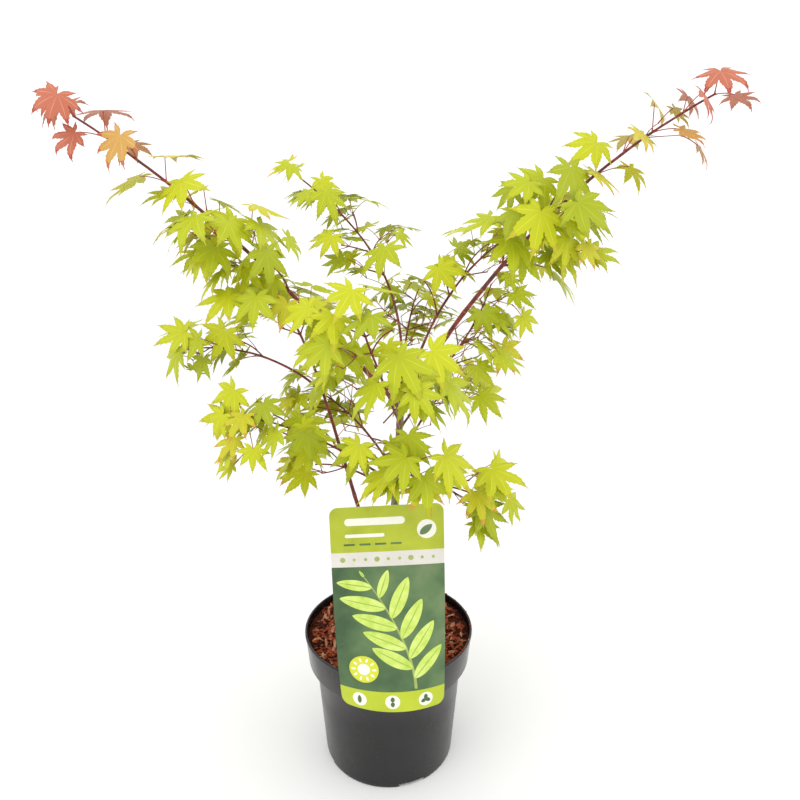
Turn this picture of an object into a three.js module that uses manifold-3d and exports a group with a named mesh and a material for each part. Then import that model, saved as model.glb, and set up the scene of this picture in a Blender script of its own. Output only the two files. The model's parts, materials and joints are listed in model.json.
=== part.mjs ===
// A young Japanese maple in a round nursery pot: pot, compost, plant label, trunk, boughs and
// masses of foliage. Millimetres, +Z up, origin at the middle of the pot's flat underside.
import * as THREE from "three";
import { mergeVertices } from "three/addons/utils/BufferGeometryUtils.js";
import Module from "manifold-3d";

const wasm = await Module();
wasm.setup();

// ---------------------------------------------------------------- driving dimensions

const GAP = 0.3; // left between any two solids
const SMOOTHING = 0.07; // the least detail that a fused solid keeps

const POT = {
  height: 155,
  rimRadius: 95,
  collarHeight: 35,
  collarFootRadius: 91.4,
  bodyTopRadius: 83.3,
  footRadius: 74.4,
  wall: 1.6,
  floor: 3,
  lip: 1.4,
  sides: 40,
};
const DRAIN_HOLE = { radius: 4.5, ringRadius: 42, count: 6, sides: 12 };
const DRAIN_NOTCH = { width: 30, height: 4, depth: 16, count: 4, firstHeading: -69 };

const SOIL = { crown: 150, edge: 146.5, flatRadius: 26 };

const CARD = {
  width: 110,
  height: 218,
  thickness: 0.8,
  corner: 8,
  foot: 121,
  standOff: 1.2,
  lean: 5,
  tilt: -1.5,
  twist: 7,
  footShift: 6,
  columns: 12,
  rows: 10,
  cornerRows: 3,
};
const HOOK = { width: 24, thickness: 0.9, above: 0.8, inside: 6, drop: 5 };

// A limb's line leaves its parent at a share of the parent's length. It sets off along its heading
// (degrees round from +X) and rise (degrees above level), and turns and bends evenly to its end.
// The bare share of the line is the limb itself; foliage grows along the rest of it, with side
// twigs as far as twigEnd and leaves that shrink towards its tip.
const LIMBS = [
  {
    name: "trunk", length: 268, heading: 4, turn: -8, rise: 88, endRise: 86, ease: 1,
    base: 4.9, tip: 3.4, bare: 1,
  },
  {
    name: "stem_left", parent: "trunk", at: 0.1, mass: "foliage_left_stem", bare: 0.76,
    length: 387, heading: 162, turn: -8, rise: 73, endRise: 29, ease: 7.6,
    base: 2.9, tip: 1.3, twig: 60, twigChance: 0.8, twigEnd: 0.95, shrink: 0.1,
  },
  {
    name: "bough_left", parent: "trunk", at: 0.985, mass: "foliage_left_whip", bare: 0.28,
    length: 391, heading: -166, turn: 6, rise: 49, endRise: 33, ease: 2.2,
    base: 2.8, tip: 1.2, twig: 50, twigChance: 0.7, twigEnd: 0.6, shrink: 0.22,
  },
  {
    name: "bough_right", parent: "trunk", at: 1, mass: "foliage_right_whip", bare: 0.36,
    length: 403, heading: -11, turn: 1, rise: 59, endRise: 28, ease: 1.5,
    base: 2.9, tip: 1.2, twig: 58, twigChance: 0.8, twigEnd: 0.62, shrink: 0.22,
  },
  {
    name: "bough_right_inner", parent: "trunk", at: 0.95, mass: "foliage_right_inner", bare: 0.28,
    length: 313, heading: 56, turn: -43, rise: 66, endRise: 13, ease: 1.35,
    base: 2.1, tip: 1.3, twig: 62, twigChance: 1, twigEnd: 0.95, shrink: 0.2,
  },
  {
    name: "bough_middle", parent: "trunk", at: 0.985, mass: "foliage_middle", bare: 0.4,
    length: 302, heading: 76, turn: 104, rise: 81, endRise: 37, ease: 0.58,
    base: 2.1, tip: 1.3, twig: 56, twigChance: 0.7, twigEnd: 0.9, shrink: 0.25,
  },
  {
    name: "bough_left_low", parent: "stem_left", at: 0.67, mass: "foliage_left_low", bare: 0.28,
    length: 170, heading: 160, turn: 20, rise: 38, endRise: -9, ease: 1,
    base: 1.9, tip: 1.3, twig: 48, twigChance: 0.7, twigEnd: 0.9, shrink: 0.15,
  },
  {
    name: "bough_left_lower", parent: "trunk", at: 0.66, mass: "foliage_left_lower", bare: 0.3,
    length: 184, heading: -163, turn: -1, rise: 42, endRise: 17, ease: 1.2,
    base: 2, tip: 1.3, twig: 54, twigChance: 0.8, twigEnd: 0.95, shrink: 0.15,
  },
  {
    name: "bough_left_bottom", parent: "trunk", at: 0.6, mass: "foliage_left_bottom", bare: 0.34,
    length: 100, heading: 168, turn: 2, rise: 50, endRise: -8, ease: 1,
    base: 1.8, tip: 1.3, twig: 46, twigChance: 0.8, twigEnd: 0.95, shrink: 0.1,
  },
  {
    name: "bough_right_mid", parent: "trunk", at: 0.9, mass: "foliage_right_mid", bare: 0.3,
    length: 190, heading: 36, turn: -8, rise: 45, endRise: 74, ease: 3.8,
    base: 1.9, tip: 1.3, twig: 52, twigChance: 1, twigEnd: 0.95, shrink: 0.15,
  },
  {
    name: "bough_front_left", parent: "trunk", at: 0.92, mass: "foliage_front_left", bare: 0.3,
    length: 191, heading: -106, turn: 5, rise: 45, endRise: 40, ease: 1,
    base: 1.9, tip: 1.3, twig: 54, twigChance: 1, twigEnd: 0.95, shrink: 0.1,
  },
  {
    name: "bough_front_right", parent: "trunk", at: 0.87, mass: "foliage_front_right", bare: 0.3,
    length: 170, heading: -93, turn: 8, rise: 40, endRise: 31, ease: 1,
    base: 1.9, tip: 1.3, twig: 54, twigChance: 0.8, twigEnd: 0.95, shrink: 0.1,
  },
  {
    name: "bough_front_low", parent: "trunk", at: 0.7, mass: "foliage_front_low", bare: 0.3,
    length: 130, heading: -88, turn: 3, rise: 50, endRise: 10, ease: 1,
    base: 1.8, tip: 1.3, twig: 56, twigChance: 1, twigEnd: 0.95, shrink: 0.1,
  },
  {
    name: "bough_back", parent: "trunk", at: 0.94, mass: "foliage_back", bare: 0.32,
    length: 200, heading: 88, turn: -12, rise: 52, endRise: 24, ease: 1,
    base: 2, tip: 1.3, twig: 56, twigChance: 0.8, twigEnd: 0.95, shrink: 0.15,
  },
  {
    name: "bough_back_left", parent: "trunk", at: 0.7, mass: "foliage_back_left", bare: 0.3,
    length: 150, heading: 128, turn: 14, rise: 42, endRise: 16, ease: 1,
    base: 2, tip: 1.3, twig: 56, twigChance: 0.8, twigEnd: 0.95, shrink: 0.15,
  },
  {
    name: "bough_back_right", parent: "trunk", at: 0.7, mass: "foliage_back_right", bare: 0.3,
    length: 165, heading: 66, turn: -14, rise: 46, endRise: 10, ease: 1,
    base: 2, tip: 1.3, twig: 54, twigChance: 0.8, twigEnd: 0.95, shrink: 0.15,
  },
  {
    name: "bough_right_low", parent: "trunk", at: 0.62, mass: "foliage_right_low", bare: 0.3,
    length: 96, heading: -22, turn: -10, rise: 36, endRise: -14, ease: 1,
    base: 2, tip: 1.3, twig: 50, twigChance: 0.8, twigEnd: 0.95, shrink: 0.1,
  },
];

const LINE_STEPS = 24;
const LIMB_SIDES = 6;
const LIMB_STEP = 26;
const ROOT_FLARE = { width: 0.75, height: 16, side: 0.22, ridges: 3 };

const TWIG = {
  sides: 4, base: 0.8, tip: 1.15, spread: 46, levelling: 0.35,
  stretch: 1.25, least: 0.75, range: 0.5, // base is a share of the stem's radius
};
const NODE_GAP = 28;
const ROLL_JITTER = 46;
const UPWARD_SQUASH = 0.75;
const TRIES = 8;

const LEAF = {
  reach: 38, // from the stalk to the tip of the middle lobe
  smallest: 0.78,
  range: 0.34,
  lobes: [1, 0.9, 0.68],
  lobeAngle: 39,
  baseLobe: 0.42,
  baseAngle: 122,
  notch: 0.33,
  stalkNotch: 0.08,
  halfThickness: 0.6,
  sag: 0.16,
  droop: 10,
  droopRange: 42,
  rollRange: 60,
  swingRange: 60,
  facing: 24, // that every blade turns to the light, which comes from above the front
};
const STALK = { length: 24, range: 16, radius: 0.7, rootRadius: 0.45, spread: 62, lift: 0.45 };
const ROOT_OFFSET = 0.5; // from the middle of a stem to where a stalk or twig starts in it
const END_WOOD = 1.2; // of a stem, past the stalks at its end
const SEED = 7919;

const ROOM = {
  between: 1, // kept from the middle of the way to the next mass
  blade: 3, // from a limb's bark to a blade's outline
  stalk: 1.2,
  centres: 15, // from one blade's middle to the next
  floor: 172,
  card: { halfWidth: 66, back: -62, top: 350 },
};

// ---------------------------------------------------------------- colours

const FINISHES = {
  pot: { color: 0x3a383a, roughness: 0.5, metalness: 0 },
  soil: { color: 0x5a2a20, roughness: 0.95, metalness: 0 },
  card: { color: 0x7f8f2a, roughness: 0.35, metalness: 0 },
  bark: { color: 0x5f5a34, roughness: 0.8, metalness: 0 },
  redBark: { color: 0x6a241a, roughness: 0.6, metalness: 0 },
  foliage: { color: 0xb4cf2a, roughness: 0.6, metalness: 0 },
};

// ---------------------------------------------------------------- small helpers

const radians = THREE.MathUtils.degToRad;

function vector(x, y, z) {
  return new THREE.Vector3(x, y, z);
}

// An even spread of numbers from 0 to 1 that a seed always repeats.
function randomNumbers(seed) {
  let state = seed >>> 0;
  return () => {
    state = (state + 0x6d2b79f5) >>> 0;
    let value = Math.imul(state ^ (state >>> 15), state | 1);
    value ^= value + Math.imul(value ^ (value >>> 7), value | 61);
    return ((value ^ (value >>> 14)) >>> 0) / 4294967296;
  };
}

function solidOf(geometry) {
  const bare = geometry.clone();
  bare.deleteAttribute("normal");
  bare.deleteAttribute("uv");
  const merged = mergeVertices(bare, 1e-4);
  return new wasm.Manifold(new wasm.Mesh({
    numProp: 3,
    vertProperties: new Float32Array(merged.attributes.position.array),
    triVerts: new Uint32Array(merged.index.array),
  }));
}

function geometryOf(solid) {
  const mesh = solid.getMesh();
  const geometry = new THREE.BufferGeometry();
  geometry.setAttribute("position", new THREE.BufferAttribute(mesh.vertProperties, 3));
  geometry.setIndex(new THREE.BufferAttribute(mesh.triVerts, 1));
  return geometry;
}

// The largest body of a solid: loose scraps are dropped, and sealed hollows are filled.
function mainBody(solid) {
  const bodies = solid.asOriginal().simplify(SMOOTHING).decompose();
  bodies.sort((first, second) => second.volume() - first.volume());
  return bodies[0];
}

// ---------------------------------------------------------------- lines of limbs and twigs

function riseAt(course, share) {
  return radians(course.rise + (course.endRise - course.rise) * share ** course.ease);
}

function headingAt(course, share) {
  return radians(course.heading + course.turn * share);
}

function forwardAt(course, share) {
  const heading = headingAt(course, share);
  const rise = riseAt(course, share);
  const level = Math.cos(rise);
  return vector(level * Math.cos(heading), level * Math.sin(heading), Math.sin(rise));
}

function lineOf(start, course) {
  const points = [start.clone()];
  for (let i = 0; i < LINE_STEPS; i += 1) {
    const forward = forwardAt(course, (i + 0.5) / LINE_STEPS);
    points.push(points[i].clone().addScaledVector(forward, course.length / LINE_STEPS));
  }
  return { ...course, points };
}

function pointAt(line, share) {
  const place = share * LINE_STEPS;
  const index = Math.min(Math.floor(place), LINE_STEPS - 1);
  return line.points[index].clone().lerp(line.points[index + 1], place - index);
}

// The way forward at a share of the line, with the level way across it and the way up from it.
function frameAt(line, share) {
  const forward = forwardAt(line, share);
  const heading = headingAt(line, share);
  const across = vector(-Math.sin(heading), Math.cos(heading), 0);
  return { point: pointAt(line, share), forward, across, up: forward.clone().cross(across) };
}

function radiusAt(line, share) {
  return line.base + (line.tip - line.base) * share;
}

// A closed tapering tube along part of a line: a cylinder whose rings are moved onto the line.
function tube(line, from, to, sides, steps, radiusOf) {
  const geometry = new THREE.CylinderGeometry(1, 1, 1, sides, steps);
  const position = geometry.attributes.position;
  for (let i = 0; i < position.count; i += 1) {
    const share = from + (to - from) * (position.getY(i) + 0.5);
    const frame = frameAt(line, share);
    const round = Math.atan2(position.getX(i), position.getZ(i));
    const radius = Math.hypot(position.getX(i), position.getZ(i)) * radiusOf(share, round);
    const place = frame.point
      .addScaledVector(frame.across, radius * Math.cos(round))
      .addScaledVector(frame.up, radius * Math.sin(round));
    position.setXYZ(i, place.x, place.y, place.z);
  }
  return geometry;
}

// ---------------------------------------------------------------- trunk and boughs

function trunkRadius(line, share, round) {
  const height = share * line.length;
  const flare = ROOT_FLARE.width * Math.exp(-((height / ROOT_FLARE.height) ** 2) * 4);
  const ridge = 1 + ROOT_FLARE.side * flare * Math.cos(ROOT_FLARE.ridges * round);
  return radiusAt(line, share) * (1 + flare) * ridge;
}

function limbSolid(line, grow) {
  const steps = Math.max(4, Math.round((line.length * line.bare) / LIMB_STEP));
  const radiusOf = line.parent
    ? (share) => radiusAt(line, share) + grow
    : (share, round) => trunkRadius(line, share, round) + grow;
  return solidOf(tube(line, 0, line.bare, LIMB_SIDES, line.parent ? steps : steps + 6, radiusOf));
}

// The trunk's foot is cut flat where it stands on the compost.
function trunkSolid(line) {
  const size = 60;
  const below = new THREE.BoxGeometry(size, size, size);
  below.translate(0, 0, SOIL.crown + GAP - size / 2);
  return limbSolid(line, 0).subtract(solidOf(below));
}

function limbLines() {
  const lines = new Map();
  for (const limb of LIMBS) {
    const parent = lines.get(limb.parent);
    const start = parent ? pointAt(parent, limb.at) : vector(0.3, 0, SOIL.crown - 2);
    lines.set(limb.name, lineOf(start, limb));
  }
  return lines;
}

// ---------------------------------------------------------------- leaves

// The outline of a blade, from one side of its stalk round to the other, in shares of its reach
// along the middle lobe and across it. The third number is the distance from the middle.
function bladeOutline() {
  const outline = [];
  const add = (angle, radius) => {
    outline.push([radius * Math.cos(radians(angle)), radius * Math.sin(radians(angle)), radius]);
  };
  const last = LEAF.lobes.length - 1;
  add(-LEAF.baseAngle, LEAF.baseLobe);
  for (let lobe = -last; lobe <= last; lobe += 1) {
    add(lobe * LEAF.lobeAngle, LEAF.lobes[Math.abs(lobe)]);
    if (lobe < last) {
      add((lobe + 0.5) * LEAF.lobeAngle, LEAF.notch);
    }
  }
  add(LEAF.baseAngle, LEAF.baseLobe);
  return outline;
}

const BLADE_OUTLINE = bladeOutline();

function bladePoint(leaf, [along, aside, radius]) {
  return leaf.centre.clone()
    .addScaledVector(leaf.along, along * leaf.reach)
    .addScaledVector(leaf.aside, aside * leaf.reach)
    .addScaledVector(leaf.normal, -LEAF.sag * leaf.reach * radius * radius);
}

// The three corners of a stalk's section: one over, and two under, to the left and right.
function stalkCorners(point, aside, over, radius) {
  return [90, 210, 330].map((angle) => point.clone()
    .addScaledVector(aside, radius * Math.cos(radians(angle)))
    .addScaledVector(over, radius * Math.sin(radians(angle))));
}

// A leaf is one closed skin. Two shallow fans of triangles, one over the other, share the
// outline, and a three-sided stalk runs into them at the back.
function leafGeometry(leaf) {
  const way = leaf.centre.clone().sub(leaf.root).normalize();
  const aside = leaf.aside.clone().addScaledVector(way, -leaf.aside.dot(way)).normalize();
  const back = bladePoint(leaf, [-LEAF.stalkNotch, 0, 0]);
  const rim = BLADE_OUTLINE.map((place) => bladePoint(leaf, place));
  const points = [
    leaf.centre.clone().addScaledVector(leaf.normal, LEAF.halfThickness),
    leaf.centre.clone().addScaledVector(leaf.normal, -LEAF.halfThickness),
    ...stalkCorners(leaf.root, aside, way.clone().cross(aside), STALK.rootRadius),
    ...stalkCorners(back, leaf.aside, leaf.normal, STALK.radius),
    ...rim,
  ];
  const [over, under, root, joint, firstRim] = [0, 1, 2, 5, 8];
  const faces = [root, root + 2, root + 1];
  for (const [side, next] of [[0, 1], [1, 2], [2, 0]]) {
    faces.push(root + side, root + next, joint + next, root + side, joint + next, joint + side);
  }
  const ring = [joint + 1, ...rim.map((_, i) => firstRim + i), joint + 2];
  for (let i = 0; i < ring.length - 1; i += 1) {
    faces.push(over, ring[i], ring[i + 1], under, ring[i + 1], ring[i]);
  }
  faces.push(over, joint + 2, joint, over, joint, joint + 1, under, joint + 1, joint + 2);
  const geometry = new THREE.BufferGeometry().setFromPoints(points);
  geometry.setIndex(faces);
  return geometry;
}

// A leaf on a stalk from a node. Its blade hangs outward and down, rolled a little to one side.
function makeLeaf(node, way, size, random) {
  const stalkLength = (STALK.length + STALK.range * random()) * size * size;
  const droop = radians(LEAF.droop + LEAF.droopRange * random());
  const roll = radians(LEAF.rollRange * (random() - 0.5));
  const reach = LEAF.reach * size * (LEAF.smallest + LEAF.range * random());
  const heading = Math.atan2(way.y, way.x) + radians(LEAF.swingRange * (random() - 0.5));
  const stalkWay = way.clone().add(vector(0, 0, STALK.lift)).normalize();
  const root = node.clone().addScaledVector(stalkWay, ROOT_OFFSET);
  const level = vector(Math.cos(heading), Math.sin(heading), 0);
  const upright = vector(0, 0, 1);
  const along = level.clone().multiplyScalar(Math.cos(droop))
    .addScaledVector(upright, -Math.sin(droop));
  const flatNormal = level.clone().multiplyScalar(Math.sin(droop))
    .addScaledVector(upright, Math.cos(droop));
  const flatAside = flatNormal.clone().cross(along);
  const normal = flatNormal.clone().multiplyScalar(Math.cos(roll))
    .addScaledVector(flatAside, Math.sin(roll));
  for (const axis of [along, normal]) {
    axis.applyAxisAngle(vector(1, 0, 0), radians(LEAF.facing));
  }
  const leaf = {
    root,
    centre: root.clone().addScaledVector(stalkWay, stalkLength),
    along,
    aside: normal.clone().cross(along),
    normal,
    reach,
  };
  return { ...leaf, sheet: sheetOf(leaf) };
}

// ---------------------------------------------------------------- the space each mass keeps to

function distanceToSegment(point, start, end) {
  const way = end.clone().sub(start);
  const share = point.clone().sub(start).dot(way) / way.lengthSq();
  return start.clone().addScaledVector(way, Math.min(1, Math.max(0, share))).distanceTo(point);
}

// The shortest way from a point to part of a line.
function distanceToLine(point, line, from, to) {
  let nearest = Infinity;
  const first = Math.floor(from * LINE_STEPS);
  const last = Math.ceil(to * LINE_STEPS);
  for (let i = first; i < last; i += 1) {
    nearest = Math.min(nearest, distanceToSegment(point, line.points[i], line.points[i + 1]));
  }
  return nearest;
}

function staysInSpace(point, own, lines) {
  if (point.z < ROOM.floor) {
    return false;
  }
  const { halfWidth, back, top } = ROOM.card;
  if (Math.abs(point.x) < halfWidth && point.y < back && point.z < top) {
    return false;
  }
  const ownDistance = distanceToLine(point, own, own.bare, 1);
  for (const line of lines.values()) {
    if (line.mass && line !== own) {
      if (distanceToLine(point, line, line.bare, 1) < ownDistance + 2 * ROOM.between) {
        return false;
      }
    }
  }
  return true;
}

function clearsLimbs(point, room, lines) {
  for (const line of lines.values()) {
    if (distanceToLine(point, line, 0, line.bare) < line.base + room) {
      return false;
    }
  }
  return true;
}

function pointFits(point, room, own, lines) {
  return staysInSpace(point, own, lines) && clearsLimbs(point, room, lines);
}

// Whether the straight way from start to end passes through a triangle.
function passesThrough(start, end, [corner, second, third]) {
  const way = end.clone().sub(start);
  const edge = second.clone().sub(corner);
  const other = third.clone().sub(corner);
  const cross = way.clone().cross(other);
  const scale = edge.dot(cross);
  if (Math.abs(scale) < 1e-9) {
    return false;
  }
  const offset = start.clone().sub(corner);
  const first = offset.dot(cross) / scale;
  const turned = offset.clone().cross(edge);
  const next = way.dot(turned) / scale;
  const along = other.dot(turned) / scale;
  return first >= 0 && next >= 0 && first + next <= 1 && along >= 0 && along <= 1;
}

// A blade as one thin sheet: its triangles, and the straight lines between their corners.
function sheetOf(leaf) {
  const rim = BLADE_OUTLINE.map((place) => bladePoint(leaf, place));
  const fan = rim.map((point, i) => [leaf.centre, point, rim[(i + 1) % rim.length]]);
  const ways = fan.flatMap(([middle, point, next]) => [[middle, point], [point, next]]);
  return { fan, ways: [...ways, [leaf.root, leaf.centre]] };
}

function waysPass(ways, fan) {
  return ways.some(([start, end]) => fan.some((triangle) => passesThrough(start, end, triangle)));
}

function leavesCross(leaf, other) {
  const room = leaf.reach + other.reach + STALK.length + STALK.range;
  if (leaf.centre.distanceTo(other.centre) > room) {
    return false;
  }
  return waysPass(leaf.sheet.ways, other.sheet.fan) || waysPass(other.sheet.ways, leaf.sheet.fan);
}

function crossesStem(leaf, stem) {
  const ways = stem.points.slice(1).map((point, i) => [stem.points[i], point]);
  return waysPass(ways, leaf.sheet.fan);
}

function leafFits(leaf, mass, lines) {
  const { line: own, leaves, twigs } = mass;
  if (leaves.some((other) => other.centre.distanceTo(leaf.centre) < ROOM.centres)) {
    return false;
  }
  for (const place of BLADE_OUTLINE) {
    const tip = bladePoint(leaf, place);
    const half = leaf.centre.clone().lerp(tip, 0.5);
    if (!pointFits(tip, ROOM.blade, own, lines) || !pointFits(half, ROOM.blade, own, lines)) {
      return false;
    }
  }
  const stalkFits = [0.25, 0.5, 0.75, 1].every((share) => (
    pointFits(leaf.root.clone().lerp(leaf.centre, share), ROOM.stalk, own, lines)
  ));
  return stalkFits && !leaves.some((other) => leavesCross(leaf, other))
    && ![own, ...twigs].some((stem) => crossesStem(leaf, stem));
}

function twigFits(twig, own, lines) {
  return [0.3, 0.6, 0.8, 1].every((share) => (
    pointFits(pointAt(twig, share), ROOM.stalk, own, lines)
  ));
}

// ---------------------------------------------------------------- masses of foliage

// The two ways in which a pair of leaves or twigs leaves a node.
function pairWays(frame, roll, spread) {
  const aside = frame.across.clone().multiplyScalar(Math.cos(roll))
    .addScaledVector(frame.up, UPWARD_SQUASH * Math.sin(roll));
  return [1, -1].map((side) => frame.forward.clone().multiplyScalar(Math.cos(spread))
    .addScaledVector(aside, side * Math.sin(spread))
    .normalize());
}

function makeTwig(node, way, length, base) {
  const rise = THREE.MathUtils.radToDeg(Math.asin(way.z));
  return lineOf(node.clone().addScaledVector(way, ROOT_OFFSET), {
    length,
    heading: THREE.MathUtils.radToDeg(Math.atan2(way.y, way.x)),
    turn: 0,
    rise,
    endRise: rise * TWIG.levelling,
    ease: 1,
    base,
    tip: Math.min(base, TWIG.tip),
  });
}

// The first of a few tries, each with random numbers of its own, that fits.
function firstThatFits(mass, make, fits) {
  mass.offers += 1;
  for (let attempt = 0; attempt < TRIES; attempt += 1) {
    const piece = make(randomNumbers(mass.seed + mass.offers * TRIES + attempt));
    if (fits(piece)) {
      return piece;
    }
  }
  return null;
}

function offerLeaf(mass, lines, stem, share, way, size) {
  const root = pointAt(stem, Math.min(share, 1 - END_WOOD / stem.length));
  const leaf = firstThatFits(
    mass,
    (random) => makeLeaf(root, way, size, random),
    (piece) => leafFits(piece, mass, lines),
  );
  if (leaf) {
    mass.leaves.push(leaf);
  }
}

function nodeCount(length) {
  return Math.max(1, Math.round(length / NODE_GAP));
}

function growTwig(mass, lines, frame, roll, side, share, size) {
  const { twig: fullLength } = mass.line;
  const twig = firstThatFits(
    mass,
    (random) => {
      const ways = pairWays(frame, roll + radians(ROLL_JITTER * (random() - 0.5)),
        radians(TWIG.spread));
      const length = fullLength * (TWIG.stretch - share) * (TWIG.least + TWIG.range * random());
      return makeTwig(frame.point, ways[side], length, TWIG.base * radiusAt(mass.line, share));
    },
    (piece) => twigFits(piece, mass.line, lines),
  );
  if (!twig) {
    return false;
  }
  mass.twigs.push(twig);
  const nodes = nodeCount(twig.length);
  for (let node = 1; node <= nodes; node += 1) {
    const twigFrame = frameAt(twig, node / nodes);
    const twigRoll = radians(90 * ((node + nodes) % 2));
    for (const way of pairWays(twigFrame, twigRoll, radians(STALK.spread))) {
      offerLeaf(mass, lines, twig, node / nodes, way, size);
    }
  }
  offerLeaf(mass, lines, twig, 1, frameAt(twig, 1).forward, size);
  return true;
}

// Twigs and leaves along one limb's line: a pair at each node, each pair a quarter turn round
// from the last.
function growMass(line, lines, seed) {
  const mass = { line, seed, offers: 0, twigs: [], leaves: [] };
  const chance = randomNumbers(seed);
  const nodes = nodeCount(line.length * (1 - line.bare));
  for (let node = 1; node <= nodes; node += 1) {
    const share = line.bare + ((1 - line.bare) * node) / nodes;
    const frame = frameAt(line, share);
    const roll = radians(90 * (node % 2) + ROLL_JITTER * (chance() - 0.5));
    const size = 1 - line.shrink * share ** 3;
    const ways = pairWays(frame, roll, radians(STALK.spread));
    for (const side of [0, 1]) {
      const wantsTwig = chance() < line.twigChance && share < line.twigEnd;
      if (!wantsTwig || !growTwig(mass, lines, frame, roll, side, share, size)) {
        offerLeaf(mass, lines, line, share, ways[side], size);
      }
    }
  }
  offerLeaf(mass, lines, line, 1, frameAt(line, 1).forward, 1 - line.shrink);
  return mass;
}

// One solid: the stem, the twigs and the leaves of a mass, fused.
function massSolid(mass) {
  const { line, twigs, leaves } = mass;
  const start = line.bare + GAP / line.length;
  const steps = nodeCount(line.length * (1 - line.bare));
  const parts = [tube(line, start, 1, TWIG.sides, steps, (share) => radiusAt(line, share))];
  for (const twig of twigs) {
    parts.push(tube(twig, 0, 1, TWIG.sides, nodeCount(twig.length),
      (share) => radiusAt(twig, share)));
  }
  parts.push(...leaves.map(leafGeometry));
  return mainBody(wasm.Manifold.union(parts.map(solidOf)));
}

// ---------------------------------------------------------------- pot and compost

function turned(profile, sides) {
  const points = profile.map(([radius, height]) => new THREE.Vector2(radius, height));
  return new THREE.LatheGeometry(points, sides).rotateX(Math.PI / 2);
}

const POT_COLLAR_FOOT = POT.height - POT.collarHeight;

function potProfile() {
  const { height, rimRadius, collarFootRadius, bodyTopRadius, footRadius, wall, floor, lip } = POT;
  const inner = wall + lip / 2;
  return [
    [0, 0],
    [footRadius - 1.5, 0],
    [footRadius, 1.5],
    [bodyTopRadius, POT_COLLAR_FOOT - 1],
    [collarFootRadius - 0.8, POT_COLLAR_FOOT],
    [collarFootRadius, POT_COLLAR_FOOT + 0.8],
    [rimRadius - lip / 2, height - 3],
    [rimRadius, height - 2.4],
    [rimRadius, height - 0.6],
    [rimRadius - 0.6, height],
    [rimRadius - inner + 0.5, height],
    [rimRadius - inner, height - 0.5],
    [collarFootRadius - wall, POT_COLLAR_FOOT + wall],
    [bodyTopRadius - wall, POT_COLLAR_FOOT],
    [footRadius - wall, floor],
    [0, floor],
  ];
}

function potSolid() {
  let pot = solidOf(turned(potProfile(), POT.sides));
  for (let i = 0; i < DRAIN_HOLE.count; i += 1) {
    const angle = (i / DRAIN_HOLE.count) * 2 * Math.PI;
    const { radius, sides, ringRadius } = DRAIN_HOLE;
    const hole = new THREE.CylinderGeometry(radius, radius, 4 * POT.floor, sides);
    hole.rotateX(Math.PI / 2);
    hole.translate(ringRadius * Math.cos(angle), ringRadius * Math.sin(angle), 0);
    pot = pot.subtract(solidOf(hole));
  }
  for (let i = 0; i < DRAIN_NOTCH.count; i += 1) {
    const { width, height, depth, firstHeading, count } = DRAIN_NOTCH;
    const notch = new THREE.BoxGeometry(depth, width, 2 * height);
    notch.translate(POT.footRadius, 0, 0);
    notch.rotateZ(radians(firstHeading + (360 * i) / count));
    pot = pot.subtract(solidOf(notch));
  }
  return mainBody(pot);
}

function soilSolid() {
  const { rimRadius, collarFootRadius, bodyTopRadius, footRadius, wall, floor, lip } = POT;
  const inset = wall + GAP + 0.1;
  const topRadius = rimRadius - wall - lip / 2 - GAP - 0.9;
  return solidOf(turned([
    [0, floor + GAP],
    [footRadius - inset, floor + GAP],
    [bodyTopRadius - inset, POT_COLLAR_FOOT + GAP],
    [collarFootRadius - inset, POT_COLLAR_FOOT + wall + 2 * GAP],
    [topRadius, SOIL.edge],
    [(topRadius + SOIL.flatRadius) / 2, (SOIL.edge + 2 * SOIL.crown) / 3],
    [SOIL.flatRadius, SOIL.crown],
    [0, SOIL.crown],
  ], POT.sides));
}

// ---------------------------------------------------------------- plant label

// The card hangs on the rim. It is rolled round the collar at its foot and flat at its head.
function cardPoint(across, up, outward) {
  const share = up / CARD.height;
  const rimDistance = POT.rimRadius + CARD.standOff + CARD.thickness;
  const bend = ((1 - share) ** 2) / rimDistance;
  const angle = across * bend;
  const level = bend > 1e-6 ? Math.sin(angle) / bend : across;
  const back = bend > 1e-6 ? (1 - Math.cos(angle)) / bend : 0;
  const turn = radians(CARD.twist * share);
  const x = level + outward * Math.sin(angle);
  const y = back - outward * Math.cos(angle);
  const atRim = POT.height - CARD.foot;
  return vector(
    CARD.footShift + up * Math.tan(radians(CARD.tilt)) + x * Math.cos(turn) - y * Math.sin(turn),
    (up - atRim) * Math.tan(radians(CARD.lean)) - rimDistance
      + x * Math.sin(turn) + y * Math.cos(turn),
    CARD.foot + up * Math.cos(radians(CARD.lean)),
  );
}

// Rows up the card, with its half width at each: short steps round the corners, then even ones.
function cardRows() {
  const { width, height, corner, rows, cornerRows } = CARD;
  const round = [];
  for (let i = 0; i < cornerRows; i += 1) {
    const angle = ((i / cornerRows) * Math.PI) / 2;
    const inset = corner * (1 - Math.sin(angle));
    round.push({ up: corner * (1 - Math.cos(angle)), half: width / 2 - inset });
  }
  const straight = [];
  for (let i = 0; i <= rows; i += 1) {
    straight.push({ up: corner + ((height - 2 * corner) * i) / rows, half: width / 2 });
  }
  const mirrored = round.map(({ up, half }) => ({ up: height - up, half })).reverse();
  return [...round, ...straight, ...mirrored];
}

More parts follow.
